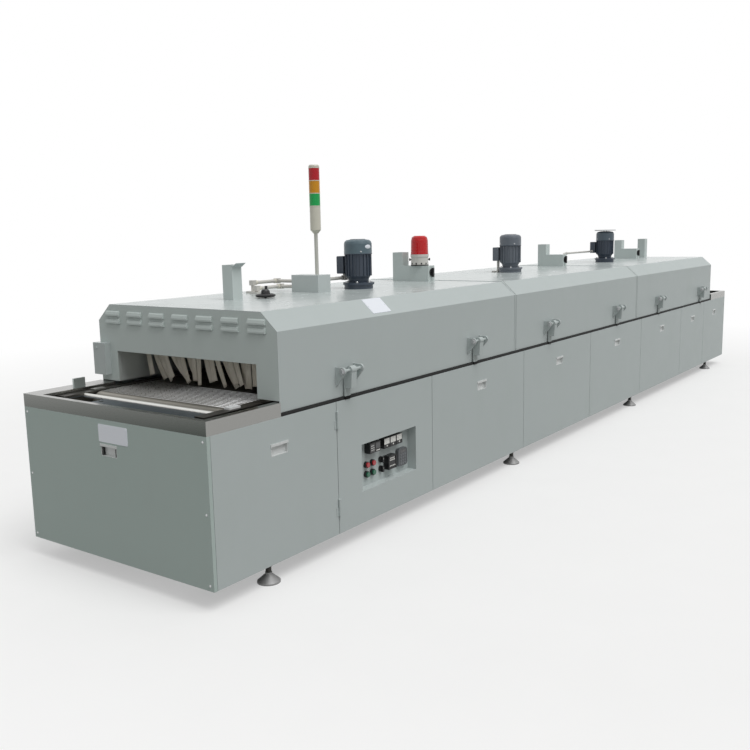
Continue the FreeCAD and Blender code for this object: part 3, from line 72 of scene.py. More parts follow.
class Nodes:
    """A node tree, with short calls for the nodes that are used most."""

    def __init__(self, tree):
        self.tree = tree

    def node(self, kind, settings=None, **links):
        """A new node; settings are its own switches, links its sockets by name with _ for a blank."""
        new = self.tree.nodes.new(kind)
        for key, value in (settings or {}).items():
            setattr(new, key, value)
        for key, value in links.items():
            self.feed(new.inputs[key.replace("_", " ")], value)
        return new

    def feed(self, socket, value):
        """Links a socket to another one, or sets its value."""
        if isinstance(value, bpy.types.NodeSocket):
            self.tree.links.new(value, socket)
        else:
            socket.default_value = value

    def remap(self, value, low, high, to_low, to_high):
        """A value carried from one range to another and held at its ends."""
        made = self.node("ShaderNodeMapRange", Value=value)
        for key, number in zip(("From Min", "From Max", "To Min", "To Max"), (low, high, to_low, to_high)):
            made.inputs[key].default_value = number
        return made.outputs["Result"]

    def math(self, operation, first, second=0.0):
        """A sum, product or other operation on one or two values."""
        made = self.node("ShaderNodeMath", {"operation": operation})
        self.feed(made.inputs[0], first)
        self.feed(made.inputs[1], second)
        return made.outputs["Value"]

    def above(self, value, limit):
        """1 where a value is above a limit, and 0 elsewhere."""
        return self.math("GREATER_THAN", value, limit)

    def below(self, value, limit):
        """1 where a value is below a limit, and 0 elsewhere."""
        return self.math("LESS_THAN", value, limit)

    def both(self, first, second):
        """The product of two shares."""
        return self.math("MULTIPLY", first, second)

    def band(self, value, low, high):
        """1 where a value lies between two limits, and 0 elsewhere."""
        return self.both(self.above(value, low), self.below(value, high))

    def wave(self, value, rate):
        """A sine wave; the rate is in radians per metre."""
        return self.math("SINE", self.math("MULTIPLY", value, rate))

    def mix(self, share, first, second):
        """The first colour where the share is 0 and the second where it is 1."""
        made = self.node("ShaderNodeMix", {"data_type": "RGBA"})
        self.feed(made.inputs["Factor"], share)
        self.feed(made.inputs[6], first)
        self.feed(made.inputs[7], second)
        return made.outputs[2]

    def backdrop_share(self):
        """1 for rays that only look at the background: the camera's, and those off gloss or through glass."""
        path = self.node("ShaderNodeLightPath").outputs
        seen = self.math("MAXIMUM", path["Is Camera Ray"], path["Is Glossy Ray"])
        return self.math("MAXIMUM", seen, path["Is Transmission Ray"])


class Look(Nodes):
    """A node material, placed by the part's own axes in metres."""

    def __init__(self, name, roughness=0.5, metallic=0.0):
        self.material = bpy.data.materials.new(name)
        self.material.use_nodes = True
        super().__init__(self.material.node_tree)
        self.shader = self.tree.nodes["Principled BSDF"]
        self.set("Roughness", roughness)
        self.set("Metallic", metallic)
        coordinates = self.node("ShaderNodeTexCoord").outputs
        self.place = coordinates["Object"]
        self.normal = coordinates["Normal"]

    def set(self, name, value):
        """Feeds a socket of the shader itself."""
        self.feed(self.shader.inputs[name], value)

    def colour(self, value):
        """Sets or links the base colour."""
        self.set("Base Color", value)

    def tone(self):
        """The colour that the shader has so far."""
        return self.shader.inputs["Base Color"].links[0].from_socket

    def bump(self, height, strength, distance):
        """Shades the surface as if it rose and fell by a distance."""
        made = self.node("ShaderNodeBump", Height=height, Strength=strength, Distance=distance)
        self.set("Normal", made.outputs["Normal"])

    def split(self, vector=None):
        """The X, Y and Z of a vector, or else of the place."""
        return self.node("ShaderNodeSeparateXYZ", Vector=vector or self.place).outputs

    def stretched(self, scale):
        """The place, scaled along each axis."""
        return self.node("ShaderNodeMapping", Vector=self.place, Scale=scale).outputs["Vector"]

    def noise(self, scale, detail=3.0, where=None, rough=0.5):
        """Cloudy values from 0 to 1, at the place unless another vector is given."""
        made = self.node(
            "ShaderNodeTexNoise", Vector=where or self.place, Scale=scale, Detail=detail, Roughness=rough
        )
        return made.outputs["Fac"]


def paint(name, colour, roughness, drift=0.05, dust=None, peel=0.03):
    """Sprayed paint: a slow drift of tone, fine orange peel and a little dust.

    Without a roughness the caller sets its own.
    """
    look = Look(name)
    tone = look.mix(look.noise(1.6, 4.0), scaled(colour, 1 - drift), scaled(colour, 1 + drift))
    if dust:
        film = look.noise(5.0, 5.0, look.stretched((1.0, 1.0, 0.5)))
        tone = look.mix(look.remap(film, 0.5, 0.85, 0.0, 0.3), tone, dust)
    look.colour(tone)
    if roughness is not None:
        smear = look.noise(14.0, 3.0)
        look.set("Roughness", look.remap(smear, 0.3, 0.7, roughness - 0.05, roughness + 0.06))
    look.bump(look.noise(700.0, 2.0), peel, 0.0005)
    return look


def brushed(name, colour, along, roughness=0.3, drift=0.1):
    """Bare metal with fine brush lines along one axis."""
    look = Look(name, roughness, 1.0)
    lines = look.noise(1.0, 4.0, look.stretched(along), 0.6)
    dark = scaled(colour, 1 - drift)
    cloudy = look.noise(7.0, 4.0)
    tone = look.mix(lines, dark, colour)
    look.colour(look.mix(look.remap(cloudy, 0.45, 0.75, 0.0, 0.3), tone, dark))
    look.set("Roughness", look.remap(lines, 0.3, 0.7, roughness - 0.07, roughness + 0.12))
    look.bump(lines, 0.08, 0.0004)
    return look


def moulded(name, colour, roughness=0.35, coat=0.0):
    """Moulded plastic with a faint grain and a slow drift of tone."""
    look = Look(name, roughness)
    look.colour(look.mix(look.noise(30.0, 3.0), scaled(colour, 0.88), colour))
    look.set("Roughness", look.remap(look.noise(60.0, 3.0), 0.3, 0.7, roughness - 0.05, roughness + 0.07))
    look.bump(look.noise(1800.0, 2.0), 0.06, 0.0003)
    look.set("Coat Weight", coat)
    return look


# Looks of the CAD nodes
GREY_TONE = srgb(190, 198, 197)
LEVEL_FROM = 0.8
LEVEL_TO = 0.97


def body_paint(name, tone=GREY_TONE):
    """Grey stoving paint: satin on upright sheets and glossier on the roofs, where it is wiped."""
    look = paint(name, tone, None, 0.02, dust=srgb(182, 192, 188), peel=0.006)
    level = look.split(look.normal)["Z"]
    smear = look.noise(9.0, 4.0)
    satin = look.remap(smear, 0.3, 0.7, 0.36, 0.46)
    wiped = look.remap(smear, 0.3, 0.7, 0.2, 0.28)
    share = look.remap(level, LEVEL_FROM, LEVEL_TO, 0.0, 1.0)
    gap = look.math("SUBTRACT", wiped, satin)
    look.set("Roughness", look.math("ADD", satin, look.both(share, gap)))
    look.set("Specular IOR Level", look.remap(level, LEVEL_FROM, LEVEL_TO, 0.05, 0.2))
    return look


def lug_paint():
    """The same paint, with a black band painted across the foot of each lug: painted shade of the seam,
    carried over the lugs.
    """
    look = body_paint("lug_paint")
    # Painted shade: each lug is black below the top of the seam
    foot = look.below(look.split()["Z"], SEAL_TOP_Z)
    look.colour(look.mix(foot, look.tone(), srgb(20, 20, 20)))
    return look


def rim_look():
    """Brushed stainless, with painted shade on the end faces, darkest at the control side and low down."""
    half_width, rim_foot_z, rim_top_z = 0.668, 0.80, 0.867
    look = brushed("stainless", srgb(156, 156, 153), (500.0, 6.0, 500.0), 0.22)
    facing_out = look.math("ABSOLUTE", look.split(look.normal)["X"])
    end_face = look.remap(facing_out, 0.6, 0.9, 0.0, 1.0)
    axes = look.split()
    near_side_shade = look.remap(axes["Y"], -half_width, half_width, 0.8, 0.5)
    low = look.remap(axes["Z"], rim_foot_z, rim_top_z, 0.2, 0.0)
    # Painted shade: the end faces are darkened, most towards the control side and towards the foot
    share = look.both(end_face, look.math("ADD", near_side_shade, low))
    look.colour(look.mix(share, look.tone(), srgb(70, 75, 71)))
    return look


def bearing_look():
    """Pale enamel on the control-side bearings and darker grey on the rear ones."""
    look = paint("bearing_enamel", srgb(228, 230, 230), 0.35, 0.04)
    rear = look.above(look.split()["Y"], 0.0)
    look.colour(look.mix(rear, look.tone(), srgb(104, 105, 101)))
    return look


def motor_look():
    """Dark blue castings and a paler pressed cowl; the middle motor is greyer and the last has a pale cap."""
    cowl_foot_z, cap_foot_z = 1.5105, 1.6065
    middle_half_x = 1.0
    look = paint("motor_blue", srgb(56, 66, 80), 0.38, 0.1, dust=srgb(96, 104, 110))
    axes = look.split()
    cowl = look.mix(look.noise(40.0, 4.0), srgb(78, 97, 106), srgb(92, 111, 120))
    on_cowl = look.above(axes["Z"], cowl_foot_z)
    tone = look.mix(on_cowl, look.tone(), cowl)
    greyer = look.mix(look.noise(40.0, 4.0), srgb(94, 101, 110), srgb(106, 113, 122))
    tone = look.mix(look.band(axes["X"], -middle_half_x, middle_half_x), tone, greyer)
    last = look.above(axes["X"], middle_half_x)
    tone = look.mix(look.both(last, on_cowl), tone, srgb(76, 90, 100))
    cap = look.both(last, look.above(axes["Z"], cap_foot_z))
    look.colour(look.mix(cap, tone, srgb(206, 209, 209)))
    return look


def tower_look():
    """Ivory housing on a plated pole and a painted box."""
    box_top_z, pole_top_z = 1.3951, 1.6455
    look = moulded("ivory_plastic", srgb(214, 211, 196), 0.35, 0.2)
    height = look.split()["Z"]
    tone = look.mix(look.below(height, box_top_z), look.tone(), GREY_TONE)
    pole = look.band(height, box_top_z, pole_top_z)
    steel = look.mix(look.noise(20.0, 3.0), srgb(186, 186, 178), srgb(206, 206, 198))
    look.colour(look.mix(pole, tone, steel))
    return look


def lens_look():
    """Three stacked lenses with fine ribs and dark seams: green, amber, red from the bottom up."""
    foot_z, amber_z, red_z = LENS_JOINTS_Z[:3]
    look = moulded("lens_plastic", srgb(6, 176, 86), 0.25, 0.1)
    look.set("Specular IOR Level", 0.3)
    height = look.split()["Z"]
    tone = look.mix(look.above(height, amber_z), look.tone(), srgb(216, 148, 12))
    tone = look.mix(look.above(height, red_z), tone, srgb(192, 18, 34))
    in_lens = look.math("MODULO", look.math("SUBTRACT", height, foot_z), LENS_HEIGHT)
    off_middle = look.math("ABSOLUTE", look.math("SUBTRACT", in_lens, LENS_HEIGHT / 2))
    seam = look.above(off_middle, 0.0355)
    look.colour(look.mix(look.both(seam, 0.55), tone, srgb(60, 52, 40)))
    look.bump(look.wave(height, 1650.0), 0.25, 0.0008)
    return look


def conveyor_look():
    """Dark side rails, bright transfer bars, slate transfer plates and a painted stop plate."""
    rail_y, bar_x, plate_x, stop_z = 0.4799, 3.94, 3.98, 0.8505
    look = brushed("rail_steel", srgb(104, 102, 98), (6.0, 200.0, 200.0), 0.42, 0.35)
    axes = look.split()
    along = look.math("ABSOLUTE", axes["X"])
    inside = look.below(look.math("ABSOLUTE", axes["Y"]), rail_y)
    flat = look.both(inside, look.above(along, plate_x))
    bar = look.both(inside, look.band(along, bar_x, plate_x))
    tone = look.mix(flat, look.tone(), srgb(84, 92, 98))
    tone = look.mix(bar, tone, srgb(222, 222, 218))
    look.colour(look.mix(look.above(axes["Z"], stop_z), tone, srgb(176, 184, 182)))
    return look


def device_look():
    """Black cases, with the keypad in dark grey."""
    keypad_x, keypad_top_z = -2.71, 0.43
    look = moulded("device_plastic", srgb(24, 24, 26), 0.4)
    axes = look.split()
    keypad = look.both(look.above(axes["X"], keypad_x), look.below(axes["Z"], keypad_top_z))
    look.colour(look.mix(keypad, look.tone(), srgb(92, 95, 98)))
    return look


def belt_look():
    """Woven wire: rods across the belt, spirals along it and painted shade between them; darker inside the
    tunnel, painted shade of the hood.
    """
    spiral_pitch = 0.0085
    tunnel_x, table_x = 3.7, 3.78
    look = brushed("belt_steel", srgb(184, 180, 170), (60.0, 8.0, 60.0), 0.4, 0.2)
    look.set("Metallic", 0.5)
    axes = look.split()
    rods = look.wave(axes["X"], math.tau / ROD_PITCH)
    spirals = look.wave(axes["Y"], math.tau / spiral_pitch)
    # Painted shade between the rods and the spirals
    gap_shade = look.math("ADD", look.remap(rods, -1.0, 0.6, 0.5, 0.1), look.remap(spirals, -1.0, 1.0, 0.12, 0.0))
    streaks = look.noise(1.0, 4.0, look.stretched((55.0, 0.5, 1.0)), 0.6)
    tone = look.mix(look.remap(streaks, 0.4, 0.7, 0.0, 0.75), look.tone(), srgb(86, 83, 76))
    tone = look.mix(gap_shade, tone, srgb(58, 56, 52))
    # Painted shade of the hood: the belt is darker inside the tunnel
    tunnel_shade = look.remap(look.math("ABSOLUTE", axes["X"]), tunnel_x, table_x, 0.5, 0.0)
    look.colour(look.mix(tunnel_shade, tone, srgb(62, 58, 52)))
    look.bump(rods, 0.1, 0.001)
    return look


def foot_look():
    """Dull plated steel, darker on the stems."""
    stem_foot_z = 0.0505
    look = brushed("foot_steel", srgb(158, 158, 158), (60.0, 60.0, 60.0), 0.5, 0.25)
    look.set("Metallic", 0.35)
    stem = look.above(look.split()["Z"], stem_foot_z)
    look.colour(look.mix(stem, look.tone(), srgb(96, 97, 98)))
    return look


def dome_look():
    """Ribbed red lens."""
    look = moulded("red_lens", srgb(206, 16, 20), 0.24, 0.15)
    look.set("Specular IOR Level", 0.35)
    look.bump(look.wave(look.split()["Z"], 900.0), 0.2, 0.0008)
    return look


GREY = body_paint("grey_paint")
FRAME_GREY = paint("frame_paint", srgb(140, 147, 146), 0.6, 0.1)
ZINC = brushed("zinc", srgb(176, 178, 182), (60.0, 60.0, 60.0), 0.36, 0.16)
SHAFT = brushed("steel_shaft", srgb(170, 170, 172), (500.0, 10.0, 500.0), 0.3)
DARK_STEEL = brushed("dark_steel", srgb(74, 72, 70), (40.0, 40.0, 40.0), 0.5, 0.3)
BLACK = moulded("black_plastic", srgb(22, 22, 23), 0.42)
WHITE = moulded("white_plastic", srgb(214, 212, 206), 0.4, 0.2)
RED = moulded("red_plastic", srgb(186, 34, 46), 0.3, 0.4)
GREEN = moulded("green_plastic", srgb(16, 104, 74), 0.3, 0.4)
LINING = paint("lining_sheet", srgb(188, 194, 191), 0.5, 0.1, dust=srgb(150, 148, 138))
LOOKS = {
    GREY: [
        "front_side_panels", "rear_side_panels", "control_door", "control_tray", "stack_flap",
        "switch_box", "door_hinges", "hood_shell_1", "hood_shell_2", "hood_shell_3",
    ],
    # Painted shade: the end panels are painted darker and greener than the sides
    body_paint("end_paint", srgb(183, 197, 192)): ["end_panels"],
    # Painted light: the hood end plates are painted paler than the sides
    body_paint("hood_end_paint", srgb(200, 210, 207)): ["inlet_hood_plate", "outlet_hood_plate"],
    # Painted light: the ducts are painted paler than the sides
    body_paint("duct_paint", srgb(204, 213, 211)): ["exhaust_duct_1", "exhaust_duct_2", "exhaust_duct_3"],
    FRAME_GREY: ["base_rails", "base_portals"],
    lug_paint(): ["hinge_lugs"],
    ZINC: ["fan_rotor_1", "fan_rotor_2", "fan_rotor_3"],
    bearing_look(): ["roller_bearings"],
    foot_look(): ["levelling_feet"],
    paint("pull_enamel", srgb(216, 219, 218), 0.3, 0.03): ["panel_pulls"],
    rim_look(): ["table_rims"],
    SHAFT: ["tail_roller", "drive_roller"],
    DARK_STEEL: ["motor_sprocket", "drive_chain"],
    BLACK: [
        "ammeters", "damper_knob_1", "damper_knob_2", "damper_knob_3", "handwheel",
        "selector_knob_1", "selector_knob_2",
    ],
    WHITE: ["beacon_base", "roof_conduits_1", "roof_conduits_2"],
    RED: ["red_button_1", "red_button_2"],
    GREEN: ["green_button_1", "green_button_2"],
    LINING: ["hood_lining_1", "hood_lining_2", "hood_lining_3", "tunnel_trays"],
    motor_look(): ["fan_motor_1", "fan_motor_2", "fan_motor_3"],
    paint("gear_grey", srgb(70, 84, 96), 0.45, 0.12): ["drive_gearmotor"],
    tower_look(): ["signal_tower"],
    lens_look(): ["tower_lenses"],
    conveyor_look(): ["conveyor_rails"],
    device_look(): ["panel_devices"],
    belt_look(): ["mesh_belt"],
    dome_look(): ["beacon_dome"],
}
for look, names in LOOKS.items():
    for name in names:
        mesh = NODES[name].data
        mesh.materials.clear()
        mesh.materials.append(look.material)


# Small helpers for new pieces
def mesh_of(name, bm, smooth=False):
    """The finished mesh of a bmesh."""
    for face in bm.faces:
        face.smooth = smooth
    bmesh.ops.recalc_face_normals(bm, faces=bm.faces)
    mesh = bpy.data.meshes.new(name)
    bm.to_mesh(mesh)
    bm.free()
    return mesh


def fitted(name, bm, look, body, smooth=False):
    """A new piece from a bmesh with its look, which moves with a body."""
    mesh = mesh_of(name, bm, smooth)
    piece = bpy.data.objects.new(name, mesh)
    SCENE.collection.objects.link(piece)
    mesh.materials.append(look.material)
    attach(piece, body)
    return piece


# Strip curtains in the two mouths
STRIPS = 22
STRIP_WIDTH = 0.036
STRIP_THICKNESS = 0.002
STRIP_LAYER = 0.005
STRIP_REACH = 0.18
STRIP_SPREAD = 0.943
STRIP_ROWS = 14
STRIP_COLUMNS = 5
STRIP_CUP = 0.004
INLET_CURTAIN_X = -3.54
OUTLET_CURTAIN_X = 3.42
# Leans and twists are in degrees; the start and the length of a wave are shares of the width
END_LEAN = 20.0
WAVE_LEAN = 11.0
WAVE_START = 0.16
WAVE_LENGTH = 0.42
ODD_LEAN = 5.0
MOST_TWIST = 16.0
WEAVE_PITCH = 0.0022


def curtain_look():
    """Coarse heat-proof cloth: a plain weave, turning brown towards the hem."""
    look = Look("curtain_cloth", 0.85)
    axes = look.split()
    warp = look.wave(axes["Y"], math.tau / WEAVE_PITCH)
    weft = look.wave(axes["Z"], math.tau / WEAVE_PITCH)
    weave = look.math("MULTIPLY", warp, weft)
    stain = look.noise(11.0, 5.0, look.stretched((1.0, 1.0, 0.5)), 0.6)
    tone = look.mix(look.remap(stain, 0.35, 0.68, 0.0, 1.0), srgb(246, 241, 228), srgb(222, 215, 199))
    sooty = look.remap(axes["Z"], 0.88, 0.95, 0.2, 0.0)
    tone = look.mix(sooty, tone, srgb(160, 150, 132))
    look.colour(look.mix(look.remap(weave, -1.0, 1.0, 0.16, 0.0), tone, srgb(120, 112, 98)))
    look.bump(weave, 0.35, 0.0008)
    look.set("Sheen Weight", 0.15)
    return look


CURTAIN = curtain_look()


def strip_centre(number, middle, top, share):
    """A point on the centre line of a strip, and how far it is turned about the vertical there."""
    across = number / (STRIPS - 1)
    layer = number % 3 - 1
    waves = max(across - WAVE_START, 0.0) / WAVE_LENGTH
    wave = WAVE_LEAN * (1 - math.cos(math.tau * waves))
    lean = math.radians(wave + END_LEAN * across**3 + ODD_LEAN * math.sin(2.3 * number + 0.7))
    twist = math.radians(MOST_TWIST * math.sin(1.9 * number + 0.4))
    reach = STRIP_REACH * (0.92 + 0.08 * math.sin(1.7 * number))
    point = Vector((
        middle + STRIP_LAYER * layer * (1 + 2.2 * share * share),
        STRIP_SPREAD * (across - 0.5) - reach * math.tan(lean) * share**1.4,
        top - reach * share,
    ))
    return point, twist * share**1.5


def hang_strip(node, body, number):
    """One thin strip, cupped a little across its width, with its own flat size."""
    low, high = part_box(node)
    middle = INLET_CURTAIN_X if low[0] < 0 else OUTLET_CURTAIN_X
    line = [strip_centre(number, middle, high[2], step / STRIP_ROWS) for step in range(STRIP_ROWS + 1)]
    bm = bmesh.new()
    rows = []
    for step, (point, turn) in enumerate(line):
        before = line[max(step - 1, 0)][0]
        after = line[min(step + 1, STRIP_ROWS)][0]
        down = (after - before).normalized()
        across = Vector((-math.sin(turn), math.cos(turn), 0.0))
        across = (across - down * across.dot(down)).normalized()
        outwards = down.cross(across)
        share = step / STRIP_ROWS
        cup = STRIP_CUP * math.sin(1.3 * number + 2.6 * share) * share
        row = []
        for column in range(STRIP_COLUMNS):
            aside = column / (STRIP_COLUMNS - 1) - 0.5
            place = point + across * aside * STRIP_WIDTH + outwards * cup * (1 - 4 * aside * aside)
            row.append(bm.verts.new(place))
        rows.append(row)
    for upper, lower in zip(rows, rows[1:]):
        for column in range(STRIP_COLUMNS - 1):
            bm.faces.new((upper[column], lower[column], lower[column + 1], upper[column + 1]))
    strip = fitted(f"{node}_strip_{number + 1}", bm, CURTAIN, body, True)
    cloth = strip.modifiers.new("cloth", "SOLIDIFY")
    cloth.thickness = STRIP_THICKNESS
    cloth.offset = 0.0
    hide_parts(node)


for number in range(STRIPS):
    hang_strip("inlet_curtain", "hood_1", number)
    hang_strip("outlet_curtain", "hood_3", number)


# Shapes of the small fittings
def facing(origin, outwards, upwards=(0.0, 0.0, 1.0)):
    """Axes at a point of a surface: Z faces outwards, Y points upwards and X runs along it."""
    out = Vector(outwards).normalized()
    up = Vector(upwards)
    up = (up - out * up.dot(out)).normalized()
    return Matrix.Translation(origin) @ Matrix((up.cross(out), up, out)).transposed().to_4x4()


def shifted(axes, x, y, z=0.0):
    """Axes moved along themselves."""
    return axes @ Matrix.Translation((x, y, z))


def upright(x, y, z):
    """Axes at a point, along the part's own."""
    return Matrix.Translation((x, y, z))


def around(count, phase=0.0):
    """Angles that share out a full turn."""
    return [math.tau * (step + phase) / count for step in range(count)]


def heading(angle):
    """The level direction at an angle."""
    return Vector((math.cos(angle), math.sin(angle), 0.0))


def skin(bm, rings):
    """Faces between rings of points; a ring of one point closes an end."""
    for low, high in zip(rings, rings[1:]):
        count = max(len(low), len(high))
        for index in range(count):
            after = (index + 1) % count
            if len(low) == 1:
                bm.faces.new((low[0], high[after], high[index]))
            elif len(high) == 1:
                bm.faces.new((low[index], low[after], high[0]))
            else:
                bm.faces.new((low[index], low[after], high[after], high[index]))


def lathe(bm, axes, profile, sides=24):
    """A turned solid from pairs of radius and height about the local Z axis."""
    rings = []
    for radius, height in [(0.0, profile[0][1]), *profile, (0.0, profile[-1][1])]:
        ring = []
        for angle in around(sides if radius else 1, 0.5):
            place = Vector((radius * math.cos(angle), radius * math.sin(angle), height))
            ring.append(bm.verts.new(axes @ place))
        rings.append(ring)
    skin(bm, rings)


def rounded(width, height, corner, steps=4):
    """The outline of a rectangle with round corners."""
    points = []
    for x_side, y_side, start in ((1, 1, 0.0), (-1, 1, 90.0), (-1, -1, 180.0), (1, -1, 270.0)):
        for step in range(steps + 1):
            angle = math.radians(start + 90.0 * step / steps)
            x = x_side * (width / 2 - corner) + corner * math.cos(angle)
            y = y_side * (height / 2 - corner) + corner * math.sin(angle)
            points.append((x, y))
    return points


def plate(bm, axes, width, height, thickness, corner, edge=0.0005):
    """A plate with round corners and an eased front edge, standing on the local XY plane."""
    rings = []
    for inset, level in ((0.0, 0.0), (0.0, thickness - edge), (edge, thickness)):
        outline = rounded(width - inset * 2, height - inset * 2, max(corner - inset, 0.0001))
        rings.append([bm.verts.new(axes @ Vector((x, y, level))) for x, y in outline])
    skin(bm, rings)
    bm.faces.new(rings[0])
    bm.faces.new(rings[-1])


def border(bm, axes, half, side, bar, thickness, corner, edge):
    """Four bars round a square; half is from its middle to the middle of a bar."""
    for aside, rise, width, height in (
        (-half, 0, bar, side), (half, 0, bar, side), (0, half, side, bar), (0, -half, side, bar)
    ):
        plate(bm, shifted(axes, aside, rise), width, height, thickness, corner, edge)


def tube(bm, points, radius, sides=12):
    """A round bar through a row of points."""
    points = [Vector(point) for point in points]
    rings = [[bm.verts.new(points[0])]]
    for index, point in enumerate(points):
        before = points[max(index - 1, 0)]
        along = (points[min(index + 1, len(points) - 1)] - before).normalized()
        side = along.orthogonal().normalized()
        if abs(along.z) < 0.99:
            side = along.cross(Vector((0.0, 0.0, 1.0))).normalized()
        third = along.cross(side)
        ring = []
        for angle in around(sides):
            ring.append(bm.verts.new(point + (side * math.cos(angle) + third * math.sin(angle)) * radius))
        rings.append(ring)
    rings.append([bm.verts.new(points[-1])])
    skin(bm, rings)


def hex_head(bm, axes, across, height):
    """A washer with a hexagon head on it."""
    washer = [(across * 0.72, 0.0), (across * 0.72, height * 0.18), (across * 0.66, height * 0.24)]
    head = [(across * 0.577, height * 0.2), (across * 0.577, height * 0.88), (across * 0.5, height)]
    lathe(bm, axes, washer, 20)
    lathe(bm, axes, head, 6)


def pan_head(bm, axes, radius):
    """A low round screw head."""
    shape = ((1.0, 0.0), (1.0, 0.2), (0.82, 0.42), (0.4, 0.55))
    lathe(bm, axes, [(radius * out, radius * up) for out, up in shape], 14)


PLATE = paint("bare_plate", srgb(236, 240, 247), 0.32, 0.02)
SEAL = moulded("seal_rubber_and_shade", srgb(9, 10, 10), 0.85)
IVORY = moulded("ivory_trim", srgb(226, 222, 208), 0.35, 0.2)
BRIGHT = brushed("bright_steel", srgb(196, 197, 198), (80.0, 80.0, 80.0), 0.28, 0.12)
BLUE_TRIM = paint("motor_trim", srgb(52, 62, 74), 0.45, 0.12)
DIAL = moulded("dial_white", srgb(246, 246, 241), 0.5)
KEYS = moulded("key_rubber", srgb(116, 119, 122), 0.55)
WINDOW = moulded("display_window", srgb(40, 42, 46), 0.12, 0.6)

# Bare plates and panel screws
END_LABEL_THICKNESS = 0.0016
HOOD_LABEL_THICKNESS = 0.002

bm = bmesh.new()
label = facing((-END_X, -0.037, 0.7335), (-1, 0, 0))
plate(bm, label, 0.212, 0.086, END_LABEL_THICKNESS, 0.006)
for x in (-0.097, 0.097):
    for y in (-0.034, 0.034):
        pan_head(bm, shifted(label, x, y, END_LABEL_THICKNESS), 0.003)
fitted("end_label_plate", bm, PLATE, "base")

bm = bmesh.new()
slope = facing((-2.845, -0.6, 1.2504), (0.0, -0.669, 0.743), (0.0, 0.743, 0.669))
plate(bm, slope, 0.168, 0.108, HOOD_LABEL_THICKNESS, 0.005)
for x in (-0.074, 0.074):
    pan_head(bm, shifted(slope, x, 0.0, HOOD_LABEL_THICKNESS), 0.0045)
fitted("hood_label_plate", bm, PLATE, "hood_1")

bm = bmesh.new()
for side in (-1, 1):
    for y in (-0.645, 0.645):
        for z in (0.125, 0.45, 0.775):
            pan_head(bm, facing((side * END_X, y, z), (side, 0, 0)), 0.006)
fitted("end_panel_screws", bm, BRIGHT, "base")

# Black pieces at the ends of the pulls in the end panels: painted shade in the ends of the recesses
PULL_Z = 0.648
PULL_HALF = 0.0575
PULL_END_INSET = 0.008

bm = bmesh.new()
for side in (-1, 1):
    axes = facing((side * END_X, 0.0, PULL_Z), (side, 0, 0))
    for hand in (-1, 1):
        end = shifted(axes, hand * (PULL_HALF - PULL_END_INSET), -0.003, -0.013)
        plate(bm, end, 0.010, 0.040, 0.0125, 0.003, 0.002)
fitted("pull_end_shades", bm, BLACK, "base")

# Seals of the hoods and the control door; the black seal along the hood seam is partly painted shade of the
# gap in the seam
SEAL_PROFILE = (
    (0.658, 0.8001), (0.6665, 0.8001), (0.6667, 0.809),
    (0.6645, 0.8155), (0.661, SEAL_TOP_Z), (0.658, SEAL_TOP_Z),
)
SEAL_ENDS = (-3.716, 3.596)
LUG_HALF_WIDTH = 0.0235


def seal_strip(bm, start, end, side):
    """A length of the hood seal along one side of the base."""
    rings = []
    for x in (start, end):
        rings.append([bm.verts.new((x, y * side, z)) for y, z in SEAL_PROFILE])
    skin(bm, rings)
    bm.faces.new(rings[0])
    bm.faces.new(rings[1])


# On the control side the seal stops at each hinge lug
bm = bmesh.new()
stops = [SEAL_ENDS[0]]
for pair in HINGES_X.values():
    for x in pair:
        stops += [x - LUG_HALF_WIDTH, x + LUG_HALF_WIDTH]
stops.append(SEAL_ENDS[1])
for start, end in zip(stops[::2], stops[1::2]):
    seal_strip(bm, start, end, -1)
seal_strip(bm, *SEAL_ENDS, 1)
# Partly painted shade: the black strip darkens the band where the seam's gap lies
fitted("hood_seal", bm, SEAL, "base")

# A dark strip behind the joint on the hinge side of the control door
bm = bmesh.new()
plate(bm, facing((-3.3155, -0.6645, 0.4525), (0, -1, 0)), 0.013, 0.69, 0.0012, 0.001, 0.0003)
fitted("door_seal", bm, SEAL, "base")

# Flanges at the joints of the hoods
HOOD_EDGE = (
    (0.656, 0.83), (0.656, 1.2), (0.556, HOOD_TOP_Z),
    (-0.556, HOOD_TOP_Z), (-0.656, 1.2), (-0.656, 0.83),
)
SIDE_FROM_Y = 0.6
ROOF_FROM_Z = 1.25
FLANGE_WIDTH = 0.017
FLANGE_THICKNESS = 0.0022
FLANGE_ENDS = {
    "hood_1": (-1.283,), "hood_2": (-1.277 + FLANGE_WIDTH, 1.157), "hood_3": (1.163 + FLANGE_WIDTH,)
}


def edge_flange(bm, start, end):
    """A thin band round the outside of a hood, from one side to the other."""
    rings = []
    for x in (start, end):
        inner = [bm.verts.new((x, y, z)) for y, z in HOOD_EDGE]
        outer = []
        for y, z in reversed(HOOD_EDGE):
            aside = FLANGE_THICKNESS * (1.0 if abs(y) > SIDE_FROM_Y else 0.4)
            rise = FLANGE_THICKNESS if z > ROOF_FROM_Z else 0.0
            outer.append(bm.verts.new((x, y + math.copysign(aside, y), z + rise)))
        rings.append(inner + outer)
    skin(bm, rings)
    for ring in rings:
        for index in range(len(HOOD_EDGE) - 1):
            bm.faces.new((ring[index], ring[index + 1], ring[-2 - index], ring[-1 - index]))


for body, ends in FLANGE_ENDS.items():
    bm = bmesh.new()
    for end in ends:
        edge_flange(bm, end - FLANGE_WIDTH, end)
    fitted(f"joint_flange_{body}", bm, GREY, body)

# Nuts on the hinge pins
PIN_Y, PIN_Z = -0.7, 0.956
PIN_HALF_LENGTH = 0.081

for body, pair in HINGES_X.items():
    bm = bmesh.new()
    for x in pair:
        for side in (-1, 1):
            axes = facing((x + PIN_HALF_LENGTH * side, PIN_Y, PIN_Z), (side, 0, 0))
            hex_head(bm, axes, 0.026, 0.0095)
    fitted(f"hinge_nuts_{body}", bm, BRIGHT, body)

